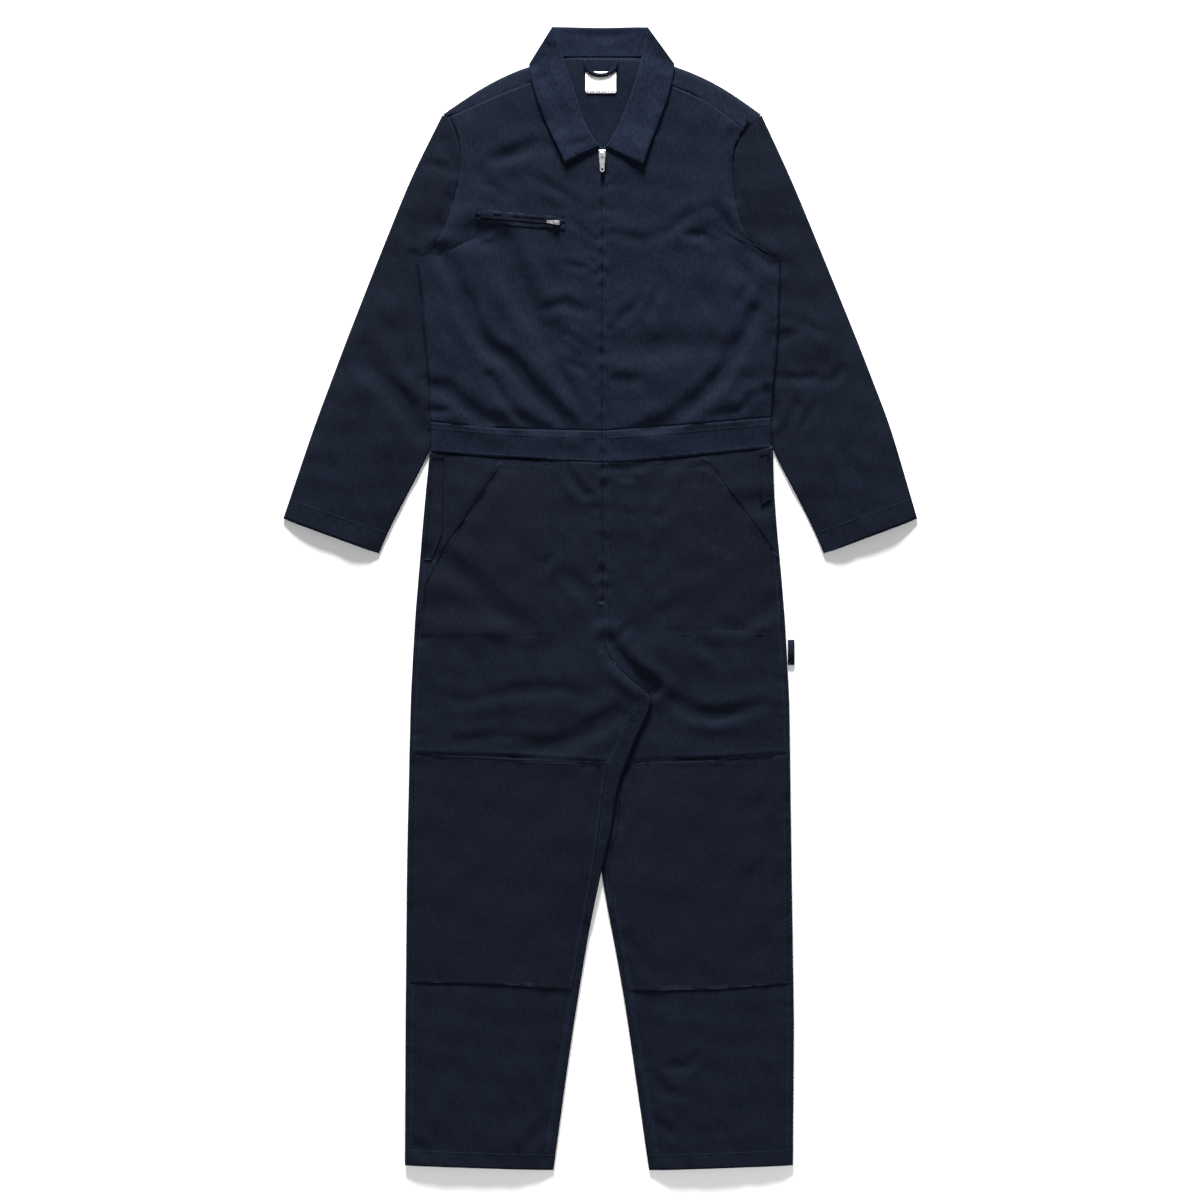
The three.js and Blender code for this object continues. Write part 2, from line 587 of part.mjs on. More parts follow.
function collarWall() {
  const sections = [...COLLAR_SIDES.right, ...COLLAR_MIDDLE, ...[...COLLAR_SIDES.left].reverse()];
  const leafLow = (x, y) => frontLow(x, y) + PITCH + LEAF_CLEAR;
  const mix = (a, b, t) => [lerp(a[0], b[0], t), lerp(a[1], b[1], t)];
  const toward = (a, b, by) => mix(a, b, by / Math.hypot(b[0] - a[0], b[1] - a[1]));
  const skins = { under: [], over: [] };
  for (const section of sections) {
    const seam = [section.seamX, section.seamY];
    const roll = [section.rollX, section.rollY];
    const edge = [section.edgeX, section.edgeY];
    const within = toward(roll, mix(seam, edge, 0.5), CLOTH);
    const stand = [seam, mix(seam, roll, 0.5), toward(roll, seam, FOLD_ROUND)];
    const leaf = [toward(roll, edge, FOLD_ROUND), mix(roll, edge, 0.3), mix(roll, edge, 0.65), edge];
    const inStand = [seam, stand[1], toward(roll, seam, CLOTH + FOLD_ROUND)];
    const inLeaf = [toward(roll, edge, CLOTH + FOLD_ROUND), leaf[1], leaf[2], edge];
    const standAt = { front: frontLow, turn: () => STAND_BACK + CLOTH + GAP, back: () => STAND_BACK };
    const low = standAt[section.kind];
    if (section.kind === "front") {
      const fold = (leafLow(...roll) + low(...roll) + CLOTH) / 2;
      skins.under.push([...stand.map((p) => [...p, low(...p)]), [...roll, fold],
        ...leaf.map((p) => [...p, leafLow(...p) + CLOTH])]);
      skins.over.push([...inStand.map((p) => [...p, low(...p) + CLOTH]), [...within, fold],
        ...inLeaf.map((p) => [...p, leafLow(...p)])]);
    } else if (section.kind === "back") {
      const fold = (STAND_BACK + CLOTH) / 2;
      skins.under.push([...stand.map((p) => [...p, low() + CLOTH]), [...roll, fold],
        ...leaf.map((p) => [...p, 0])]);
      skins.over.push([...inStand.map((p) => [...p, low()]), [...within, fold],
        ...inLeaf.map((p) => [...p, CLOTH])]);
    } else {
      const out = Math.sign(section.edgeX - CENTRE);
      const leafMiddle = (leafLow(...edge) + CLOTH) / 2;
      skins.under.push([...stand.map((p) => [...p, low()]), [...roll, low()],
        ...leaf.map((p) => [p[0] + out * HALF_SEAM, p[1], leafMiddle])]);
      skins.over.push([...inStand.map((p) => [p[0] + out * CLOTH, p[1], low()]), [...within, low()],
        ...inLeaf.map((p) => [p[0] - out * CLOTH, p[1] - CLOTH / 2, leafMiddle])]);
    }
  }
  return wallOf(skins.under, skins.over);
}

// Zip slider with its pull. The pull's bar turns under the slider's bridge. Along -Y from the bar.
const ZIP_COLUMNS = ["width", "length", "bodyHigh", "bridge", "bar", "pullWidth", "pullLong", "hole"];
const [MAIN_ZIP, POCKET_ZIP] = table(ZIP_COLUMNS, [
  [9, 12, 2.4, 3.2, 1.4, 7.6, 25, 1.7],
  [6, 9, 1.8, 2, 1.1, 5, 13.5, 1.1],
]);
const PIVOT_CLEAR = 0.4;
// Bridge over the pull's bar: its feet and walls, and how far in and up its shoulder and crown are.
const BRIDGE = { foot: 1.3, wall: 1.1, shoulderIn: 0.5, shoulderUp: 0.7, crownIn: 1.4, crownUp: 1.1, sill: 0.1 };
const NOSE = 0.9; // chamfer of a slider's body at both ends
const CUT_CORNER = 2.2; // corners cut off a slider's lower end
const PULL_WAIST = 0.82; // width of a pull's lower part, as a share of its upper part
const BEYOND = 20; // more than any slider's height
function zipSlider(size) {
  const { width, length, bodyHigh, bridge, bar, pullWidth, pullLong, hole } = size;
  const inner = bar / 2 + PIVOT_CLEAR + BRIDGE.wall;
  const reach = inner + BRIDGE.foot;
  const high = bar + 2 * PIVOT_CLEAR;
  const shoulder = bodyHigh + high + BRIDGE.shoulderUp;
  const crown = bodyHigh + high + BRIDGE.crownUp;
  const arch = new THREE.Shape();
  arch.moveTo(-length / 2, 0);
  arch.lineTo(length / 2, 0);
  arch.lineTo(length / 2, bodyHigh * 0.6);
  arch.lineTo(length / 2 - NOSE, bodyHigh);
  arch.lineTo(reach, bodyHigh);
  arch.lineTo(reach - BRIDGE.shoulderIn, shoulder);
  arch.lineTo(reach - BRIDGE.crownIn, crown);
  arch.lineTo(BRIDGE.crownIn - reach, crown);
  arch.lineTo(BRIDGE.shoulderIn - reach, shoulder);
  arch.lineTo(-reach, bodyHigh);
  arch.lineTo(NOSE - length / 2, bodyHigh);
  arch.lineTo(-length / 2, bodyHigh * 0.6);
  const eye = new THREE.Path();
  const eyeLow = bodyHigh + BRIDGE.sill;
  eye.moveTo(-inner, eyeLow);
  eye.lineTo(-inner, bodyHigh + high);
  eye.lineTo(inner, bodyHigh + high);
  eye.lineTo(inner, eyeLow);
  arch.holes.push(eye);
  const whole = new THREE.ExtrudeGeometry(arch, { depth: width, bevelEnabled: false });
  whole.translate(0, 0, -width / 2);
  whole.rotateX(Math.PI / 2);
  whole.rotateZ(Math.PI / 2);
  // The body is as wide as the whole, and the bridge only as wide as the pull's eye lets through.
  const high0 = bodyHigh + 0.01;
  const plan = new THREE.BoxGeometry(width + 2, length + 2, high0).translate(0, 0, high0 / 2);
  const post = new THREE.BoxGeometry(bridge, length + 2, BEYOND).translate(0, 0, BEYOND / 2);
  const side = width / 2;
  const end = length / 2;
  const trimmed = outlineOf([
    [CUT_CORNER - side, -end], [side - CUT_CORNER, -end], [side, CUT_CORNER - end],
    [side, end], [-side, end], [-side, CUT_CORNER - end],
  ]);
  const prism = new THREE.ExtrudeGeometry(trimmed, { depth: BEYOND, bevelEnabled: false });
  const keep = manifoldOf(plan).add(manifoldOf(post)).intersect(manifoldOf(prism));
  const slider = geometryOf(manifoldOf(whole).intersect(keep));

  const outline = new THREE.Shape();
  const half = pullWidth / 2;
  const top = bar / 2;
  const slim = half * PULL_WAIST;
  outline.moveTo(-half, top);
  outline.lineTo(half, top);
  outline.lineTo(half, -pullLong * 0.45);
  outline.lineTo(slim, -pullLong * 0.6);
  outline.lineTo(slim, half - pullLong);
  outline.absarc(0, slim - pullLong, slim, 0, -Math.PI, true);
  outline.lineTo(-slim, -pullLong * 0.6);
  outline.lineTo(-half, -pullLong * 0.45);
  const slot = new THREE.Path();
  const slotHalf = bridge / 2 + PIVOT_CLEAR;
  const slotEnd = Math.hypot(reach, high / 2 + BRIDGE.crownUp) + PIVOT_CLEAR + 0.2;
  slot.moveTo(-slotHalf, -top);
  slot.lineTo(-slotHalf, -slotEnd);
  slot.lineTo(slotHalf, -slotEnd);
  slot.lineTo(slotHalf, -top);
  const drilled = new THREE.Path();
  drilled.absarc(0, half - pullLong, hole, 0, 2 * Math.PI, false);
  outline.holes.push(slot, drilled);
  const pull = new THREE.ExtrudeGeometry(outline, { depth: bar, bevelEnabled: false, curveSegments: 10 });
  pull.translate(0, 0, bodyHigh + PIVOT_CLEAR);
  return { slider, pull };
}

// Outlines of the pieces that lie on a leg, the chest and the back.
const KNEE_PATCH = {
  right: [[-260, -217.7], [-265, -535.5], [-145.6, -538.3], [-39, -546], [-24, -464], [-11, -390],
    [-2, -320], [5, -264], [11, -230.3], [-199, -221.9]],
  left: [[46, -227.5], [31, -251], [30, -267], [24, -324], [16, -349], [13, -390], [23, -464],
    [39.2, -548], [168, -545.3], [263, -537], [259.8, -217.7], [168, -224.7]],
};
const HIP_POCKET = {
  right: [[-71, 191], [-139, 188], [-196, 104], [-214, 79], [-231, 44], [-245, 20], [-252, -30],
    [-254, -61], [-71, -61]],
  left: [[79, 191], [147, 196], [182, 152], [224, 96], [246, 65], [252, 0], [255, -52], [79, -52]],
};
const SIDE_PLACKET = {
  right: [[-234, 196], [-218, 196], [-221, 92], [-236, 54], [-246, 54], [-240, 120]],
  left: [[222, 200], [236, 202], [238, 140], [225, 131]],
};
const LABEL = { left: -20.4, right: 22.8, bottom: 707, top: 737, corner: 3, thick: 1 };
const LOOP = { x: 1, foot: 754.5, reach: 24.5, drop: 20, strand: 5.5, thick: 1.2 };
const SIDE_TAB = { x: 262.9, y: -75.5, wide: 9.4, long: 35.5, thick: 1.2 };
const CHEST_POCKET = {
  outerX: -173.6, innerX: -49, outerY: 534.8, innerY: 524.3, teeth: 4.4, welt: 7, end: 5,
};
const TAPE = { half: 11, thick: 1.1, top: 628, bottom: -6, below: 0.5 };
const SLIDER_Y = 621;
const POCKET_SLIDER_X = -61;

const labelPlan = () => {
  const shape = new THREE.Shape();
  const { left, right, bottom, top, corner } = LABEL;
  shape.moveTo(left + corner, bottom);
  shape.lineTo(right - corner, bottom);
  shape.absarc(right - corner, bottom + corner, corner, -Math.PI / 2, 0, false);
  shape.absarc(right - corner, top - corner, corner, 0, Math.PI / 2, false);
  shape.absarc(left + corner, top - corner, corner, Math.PI / 2, Math.PI, false);
  shape.absarc(left + corner, bottom + corner, corner, Math.PI, 1.5 * Math.PI, false);
  return shape;
};

// The hanger loop: a strand sewn at both ends to the neck seam, hanging over the label.
const loopPlan = () => {
  const arc = (reach, drop, sign) => Array.from({ length: 13 }, (_, k) => {
    const angle = sign * lerp(-1, 1, k / 12) * (Math.PI / 2);
    return [LOOP.x + reach * Math.sin(angle), LOOP.foot - drop * Math.cos(angle) ** 0.7];
  });
  return outlineOf([...arc(LOOP.reach, LOOP.drop + LOOP.strand, 1),
    ...arc(LOOP.reach - LOOP.strand, LOOP.drop, -1)]);
};

// One strip of the chest pocket, between two distances from the middle of its zip.
const pocketSlope = (CHEST_POCKET.innerY - CHEST_POCKET.outerY) / (CHEST_POCKET.innerX - CHEST_POCKET.outerX);
const pocketY = (x) => CHEST_POCKET.outerY + (x - CHEST_POCKET.outerX) * pocketSlope;
function pocketStrip(from, to, inset) {
  const ends = [CHEST_POCKET.outerX + inset, CHEST_POCKET.innerX - inset];
  const points = [[ends[0], from], [ends[1], from], [ends[1], to], [ends[0], to]];
  return outlineOf(points.map(([x, away]) => [x, pocketY(x) + away]));
}

// Zip tape under the two fronts, from below the slider to the fly's foot.
function zipTape(low) {
  const steps = 12;
  const rows = Array.from({ length: steps + 1 }, (_, k) => lerp(TAPE.bottom, TAPE.top, k / steps));
  const plan = rows.map((y) => [-1, 0, 1].map((k) => [CENTRE + k * TAPE.half, y]));
  return wallOf(raised(plan, () => low), raised(plan, () => low + TAPE.thick));
}

// The side tab: a strip folded double, caught in the side seam of the left leg.
function sideTab() {
  const { wide, long, thick, x, y } = SIDE_TAB;
  const fold = new THREE.Shape();
  fold.moveTo(0, 0);
  fold.lineTo(wide - thick, 0);
  fold.lineTo(wide, thick + GAP / 2);
  fold.lineTo(wide - thick, 2 * thick + GAP);
  fold.lineTo(0, 2 * thick + GAP);
  fold.lineTo(0, thick + GAP);
  fold.lineTo(wide - 2 * thick, thick + GAP);
  fold.lineTo(wide - 2 * thick, thick);
  fold.lineTo(0, thick);
  const tab = new THREE.ExtrudeGeometry(fold, { depth: long, bevelEnabled: false });
  return tab.rotateX(Math.PI / 2).translate(x, y + long / 2, 0);
}

const DRILL = { color: 0x222b3d, roughness: 0.9, metalness: 0 };
const PATCH_DRILL = { color: 0x1d2534, roughness: 0.9, metalness: 0 };
const TAPE_FINISH = { color: 0x161b26, roughness: 0.95, metalness: 0 };
const LABEL_FINISH = { color: 0xf2f2f0, roughness: 0.8, metalness: 0 };
const ZINC = { color: 0xb9bcc0, roughness: 0.32, metalness: 1 };

const suit = new THREE.Group();
function add(name, geometry, finish, place = [0, 0, 0], turn = 0) {
  const mesh = new THREE.Mesh(geometry, new THREE.MeshStandardMaterial(finish));
  mesh.name = name;
  mesh.position.set(...place);
  mesh.rotation.z = turn;
  suit.add(mesh);
}

const back = backPanel();
add("back", backWall(back), DRILL);
add("waistband_back", panelWall(panelOf(bandPlan(backColumns()), backLow)), DRILL);
const fronts = {};
for (const side of ["right", "left"]) {
  fronts[side] = frontPanel(side);
  const legFront = panelOf(legPlan(side), legFrontLow[side]);
  add(`front_${side}`, panelWall(fronts[side]), DRILL);
  add(`sleeve_${side}`, sleeveWall(side), DRILL);
  add(`waistband_front_${side}`, panelWall(panelOf(bandPlan(frontColumns(side)), frontLow)), DRILL);
  add(`leg_back_${side}`, panelWall(panelOf(legPlan(side), legBackLow[side])), DRILL);
  add(`leg_front_${side}`, panelWall(legFront), DRILL);
  add(`knee_patch_${side}`, laidOn(legFront, outlineOf(KNEE_PATCH[side])), PATCH_DRILL);
  add(`hip_pocket_${side}`, laidOn(legFront, outlineOf(HIP_POCKET[side])), PATCH_DRILL);
  add(`side_placket_${side}`, laidOn(legFront, outlineOf(SIDE_PLACKET[side])), PATCH_DRILL);
}
add("collar", collarWall(), DRILL);
add("neck_label", laidOn(back, labelPlan(), PITCH, LABEL.thick), LABEL_FINISH);
add("hanger_loop", laidOn(back, loopPlan(), PITCH + LABEL.thick + GAP, LOOP.thick), DRILL);
add("side_tab", sideTab(), PATCH_DRILL);

const { teeth, welt, end } = CHEST_POCKET;
const weltPlans = {
  upper: pocketStrip(teeth / 2 + GAP, teeth / 2 + welt, 0),
  lower: pocketStrip(-teeth / 2 - welt, -teeth / 2 - GAP, 0),
};
for (const [place, plan] of Object.entries(weltPlans)) {
  add(`chest_pocket_welt_${place}`, laidOn(fronts.right, plan), PATCH_DRILL);
}
add("chest_pocket_zip_tape", laidOn(fronts.right, pocketStrip(-teeth / 2, teeth / 2, end)), TAPE_FINISH);

const frontLevel = frontLow(CENTRE, SLIDER_Y) + CLOTH;
add("front_zip_tape", zipTape(frontLow(CENTRE, SLIDER_Y) - TAPE.below - GAP - TAPE.thick), TAPE_FINISH);
const main = zipSlider(MAIN_ZIP);
const mainPlace = [CENTRE, SLIDER_Y, frontLevel + GAP];
add("front_zip_slider", main.slider, ZINC, mainPlace);
add("front_zip_pull", main.pull, ZINC, mainPlace);
const pocket = zipSlider(POCKET_ZIP);
const pocketPlace = [POCKET_SLIDER_X, pocketY(POCKET_SLIDER_X)];
const pocketLevel = frontLow(...pocketPlace) + 2 * PITCH + GAP;
const pocketTurn = -Math.PI / 2 + Math.atan(pocketSlope);
add("chest_zip_slider", pocket.slider, ZINC, [...pocketPlace, pocketLevel], pocketTurn);
add("chest_zip_pull", pocket.pull, ZINC, [...pocketPlace, pocketLevel], pocketTurn);

export default suit;
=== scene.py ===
# Boiler suit laid flat: the looks of its cloth, seams, stitching and zips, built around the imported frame.
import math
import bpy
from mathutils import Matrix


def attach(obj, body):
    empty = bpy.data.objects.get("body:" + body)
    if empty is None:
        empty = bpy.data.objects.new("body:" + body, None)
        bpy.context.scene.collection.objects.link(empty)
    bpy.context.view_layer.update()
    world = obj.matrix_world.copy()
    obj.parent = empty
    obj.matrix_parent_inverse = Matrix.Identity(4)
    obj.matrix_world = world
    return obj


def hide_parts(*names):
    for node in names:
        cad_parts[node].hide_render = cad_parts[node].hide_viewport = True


bl_info = {
    "name": "Boiler Suit",
    "version": (1, 0, 0),
    "blender": (4, 5, 0),
    "location": "3D View > Sidebar > Boiler Suit",
    "description": "Worn drill cloth, felled seams, topstitching and zips of a boiler suit laid flat",
    "category": "Add Mesh",
}

import bmesh
import bpy
import numpy as np
from bpy.props import FloatProperty, FloatVectorProperty, IntProperty, PointerProperty
from mathutils import Matrix, Vector
from mathutils.bvhtree import BVHTree

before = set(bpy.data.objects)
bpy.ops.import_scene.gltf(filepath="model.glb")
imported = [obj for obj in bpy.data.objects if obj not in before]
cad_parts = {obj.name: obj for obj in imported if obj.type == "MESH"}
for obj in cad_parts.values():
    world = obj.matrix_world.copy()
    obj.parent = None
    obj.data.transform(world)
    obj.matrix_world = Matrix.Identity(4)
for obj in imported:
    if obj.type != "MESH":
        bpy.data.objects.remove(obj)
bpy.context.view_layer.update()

MM = 0.001
BODY = "garment"
CENTRE = 3.0  # x of the centre front, in millimetres, as every place below

# Cut sizes of the pieces in metres: width, length and area, and how finely each is subdivided.
CLOTH_COLUMNS = ("node", "width", "length", "area", "levels", "slot")
CLOTH = [dict(zip(CLOTH_COLUMNS, row)) for row in [
    ("back", 0.51, 0.55, 0.2293, 2, "cotton_drill"),
    ("waistband_back", 0.477, 0.045, 0.0202, 2, "cotton_drill"),
    ("front_right", 0.26, 0.5, 0.104, 3, "cotton_drill"),
    ("front_left", 0.25, 0.49, 0.0973, 3, "cotton_drill"),
    ("sleeve_right", 0.3, 0.62, 0.1371, 3, "cotton_drill"),
    ("sleeve_left", 0.3, 0.62, 0.143, 3, "cotton_drill"),
    ("waistband_front_right", 0.24, 0.045, 0.0099, 3, "cotton_drill"),
    ("waistband_front_left", 0.24, 0.045, 0.0103, 3, "cotton_drill"),
    ("leg_back_right", 0.345, 1.005, 0.2594, 2, "cotton_drill"),
    ("leg_back_left", 0.272, 1.01, 0.2381, 2, "cotton_drill"),
    ("leg_front_right", 0.345, 1.005, 0.2594, 3, "cotton_drill"),
    ("leg_front_left", 0.272, 1.01, 0.2381, 3, "cotton_drill"),
    ("knee_patch_right", 0.276, 0.328, 0.079, 2, "patch_drill"),
    ("knee_patch_left", 0.25, 0.33, 0.0758, 2, "patch_drill"),
    ("hip_pocket_right", 0.183, 0.252, 0.0354, 2, "patch_drill"),
    ("hip_pocket_left", 0.176, 0.248, 0.0355, 2, "patch_drill"),
    ("side_placket_right", 0.028, 0.142, 0.00254, 2, "patch_drill"),
    ("side_placket_left", 0.016, 0.071, 0.0009, 2, "patch_drill"),
    ("collar", 0.42, 0.105, 0.0374, 3, "cotton_drill"),
    ("hanger_loop", 0.078, 0.0118, 0.0004, 1, "cotton_drill"),
    ("side_tab", 0.0355, 0.0195, 0.00064, 1, "patch_drill"),
    ("neck_label", 0.0432, 0.03, 0.00129, 1, "label_cloth"),
    ("chest_pocket_welt_upper", 0.125, 0.0134, 0.000835, 1, "patch_drill"),
    ("chest_pocket_welt_lower", 0.125, 0.0134, 0.000835, 1, "patch_drill"),
    ("chest_pocket_zip_tape", 0.115, 0.0104, 0.0005, 0, "zip_tape"),
    ("front_zip_tape", 0.022, 0.634, 0.0139, 1, "zip_tape"),
]]

# Creases seen in the cloth: the points along each, its half width and its depth, in millimetres.
CREASE_COLUMNS = ("path", "width", "depth")
CREASES = [dict(zip(CREASE_COLUMNS, row)) for row in [
    ([(-225, 485), (-205, 450), (-185, 410), (-172, 370), (-160, 352), (-130, 335), (-110, 315),
      (-90, 285), (-60, 262), (-40, 240)], 9, 3.2),
    ([(-175, 512), (-140, 500), (-120, 450), (-105, 415), (-85, 385), (-65, 362)], 13, 3.4),
    ([(-70, 350), (-62, 330), (-55, 310), (-35, 280), (-20, 262)], 8, 1.4),
    ([(-245, 300), (-215, 292), (-190, 270), (-165, 252), (-140, 246)], 9, 2.4),
    ([(-155, 310), (-140, 285), (-115, 255), (-90, 238), (-70, 236)], 6, 1.6),
    ([(-238, 262), (-210, 262)], 5, 0.8),
    ([(-75, 735), (-62, 700), (-55, 660)], 7, 1.0),
    ([(72, 735), (66, 690), (60, 640)], 7, 0.9),
    ([(-40, 790), (0, 786), (40, 790)], 6, 0.6),
    ([(-52, 630), (-20, 640)], 5, 0.6),
    ([(-150, 612), (-120, 622), (-90, 635), (-75, 632)], 8, 1.6),
    ([(-165, 600), (-160, 580), (-130, 562)], 6, 0.8),
    ([(-95, 590), (-60, 570), (-35, 555)], 6, 0.7),
    ([(-40, 528), (-20, 512)], 5, 0.8),
    ([(-75, 405), (-50, 412), (-20, 402)], 7, 1.3),
    ([(-45, 330), (-20, 318)], 5, 0.9),
    ([(-48, 372), (-20, 352)], 5, 0.6),
    ([(-50, 466), (-20, 462)], 5, 0.5),
    ([(20, 510), (60, 500), (100, 515), (130, 540), (160, 548)], 7, 0.9),
    ([(122, 508), (145, 508), (155, 495)], 6, 1.3),
    ([(160, 545), (175, 530), (180, 510)], 8, 1.6),
    ([(165, 520), (175, 485), (185, 465), (205, 455)], 12, 1.6),
    ([(205, 480), (208, 440), (198, 415)], 6, 1.3),
    ([(215, 400), (205, 375), (190, 350), (170, 310), (140, 280), (100, 250), (70, 240)], 9, 2.6),
    ([(30, 352), (70, 350), (110, 352), (150, 352), (185, 348)], 14, 1.8),
    ([(20, 305), (55, 305)], 8, 1.3),
    ([(28, 390), (45, 405), (55, 418)], 6, 1.2),
    ([(70, 400), (80, 430)], 6, 0.7),
    ([(150, 255), (195, 262), (210, 280), (230, 290)], 6, 0.9),
    ([(190, 290), (200, 310), (215, 305)], 8, 0.8),
    ([(235, 290), (242, 250)], 6, 1.8),
    ([(30, 236), (80, 238)], 5, 0.9),
    ([(-215, 640), (-205, 600)], 7, 1.8),
    ([(-235, 608), (-210, 598)], 6, 1.2),
    ([(-212, 560), (-220, 520)], 7, 1.0),
    ([(185, 650), (186, 600), (190, 560)], 6, 1.6),
    ([(205, 492), (235, 470), (250, 465)], 9, 1.6),
    ([(-45, 182), (-35, 160), (-20, 145)], 6, 1.6),
    ([(-150, 165), (-170, 130), (-190, 110)], 7, 1.2),
    ([(-240, 65), (-215, 50), (-195, 35), (-170, 15), (-140, -15), (-110, -40)], 12, 2.2),
    ([(-230, -12), (-190, -12), (-150, -20)], 14, 1.6),
    ([(-140, 95), (-125, 80), (-110, 60), (-80, 50)], 8, 1.0),
    ([(-140, 35), (-90, 40), (-70, 55)], 7, 0.7),
    ([(-50, 35), (-20, 10), (-10, -25)], 8, 1.0),
    ([(-150, -60), (-110, -70), (-70, -70)], 12, 1.0),
    ([(-240, -130), (-190, -145), (-120, -130), (-50, -125), (-20, -140)], 8, 0.9),
    ([(-100, -208), (-60, -205), (-20, -190), (10, -170), (20, -160)], 10, 2.0),
    ([(-200, -200), (-140, -192), (-100, -196)], 7, 0.8),
    ([(0, 185), (40, 180), (60, 185)], 6, 1.4),
    ([(20, 172), (55, 165)], 5, 0.9),
    ([(55, 150), (62, 100), (65, 70)], 7, 1.2),
    ([(85, 115), (100, 130), (110, 150), (130, 168), (150, 165), (165, 150)], 7, 1.5),
    ([(120, 180), (150, 185), (180, 160)], 5, 0.9),
    ([(110, 125), (130, 140), (150, 140)], 6, 1.0),
    ([(130, 105), (150, 85), (180, 65), (200, 68)], 6, 1.2),
    ([(200, 130), (235, 130)], 12, 1.6),
    ([(85, 15), (100, 35), (130, 40), (150, 45)], 8, 1.0),
    ([(90, -20), (120, -5)], 8, 0.8),
    ([(150, -20), (160, -35), (200, -40), (235, -15), (250, 0)], 8, 1.2),
    ([(140, -65), (160, -75), (170, -92)], 8, 1.1),
    ([(98, -139), (115, -150), (130, -160), (160, -165), (190, -160), (225, -148)], 8, 2.0),
    ([(40, -40), (20, -60)], 6, 0.8),
    ([(9, -60), (25, -84), (47, -106), (76, -125)], 9, 5.0),
    ([(-258, -217.5), (-130, -221), (6, -229)], 2.4, 0.9),
    ([(46, -227), (160, -224), (258, -217.5)], 2.4, 0.9),
    ([(-240, -320), (-232, -355), (-220, -368), (-190, -375)], 7, 0.8),
    ([(-190, -395), (-165, -425)], 6, 0.6),
    ([(-75, -495), (-80, -530)], 6, 0.6),
    ([(-262, -765), (-235, -775)], 8, 0.9),
    ([(-115, -775), (-95, -755), (-75, -738)], 8, 1.0),
    ([(-150, -240), (-180, -275)], 10, 0.7),
    ([(-40, -250), (-15, -290), (-20, -340)], 9, 0.9),
    ([(-210, -560), (-215, -620)], 8, 0.6),
    ([(75, -290), (50, -330), (35, -355), (33, -440)], 8, 1.1),
    ([(38, -478), (58, -500), (76, -530)], 7, 1.5),
    ([(125, -500), (138, -525), (150, -528)], 7, 0.9),
    ([(250, -325), (235, -360), (205, -400), (195, -440)], 9, 1.0),
    ([(245, -250), (225, -290), (200, -300)], 8, 1.0),
    ([(205, -230), (200, -300), (200, -340)], 8, 0.6),
    ([(260, -440), (235, -470), (220, -500)], 8, 0.7),
    ([(95, -655), (120, -655), (135, -640)], 6, 1.1),
    ([(75, -665), (90, -690), (120, -695)], 7, 0.9),
    ([(80, -730), (100, -748)], 6, 1.2),
    ([(85, -775), (110, -785)], 9, 1.0),
    ([(140, -745), (190, -740)], 8, 0.5),
    ([(-330, 350), (-325, 325), (-300, 300), (-280, 280), (-262, 250), (-250, 235)], 11, 2.4),
    ([(-262, 480), (-258, 420), (-250, 350), (-246, 310)], 6, 1.6),
    ([(-365, 280), (-355, 260)], 8, 0.5),
    ([(-400, 190), (-350, 170)], 9, 0.6),
    ([(248, 365), (265, 368), (275, 372)], 7, 1.4),
    ([(255, 392), (285, 385), (310, 372)], 7, 0.8),
    ([(250, 310), (280, 306), (300, 310)], 6, 1.2),
    ([(300, 300), (325, 305), (340, 320)], 6, 0.9),
    ([(335, 310), (335, 340)], 6, 0.5),
    ([(250, 225), (265, 245), (275, 270)], 6, 1.1),
    ([(262, 225), (285, 245), (300, 270)], 6, 0.7),
    ([(340, 200), (380, 150)], 9, 0.6),
]]

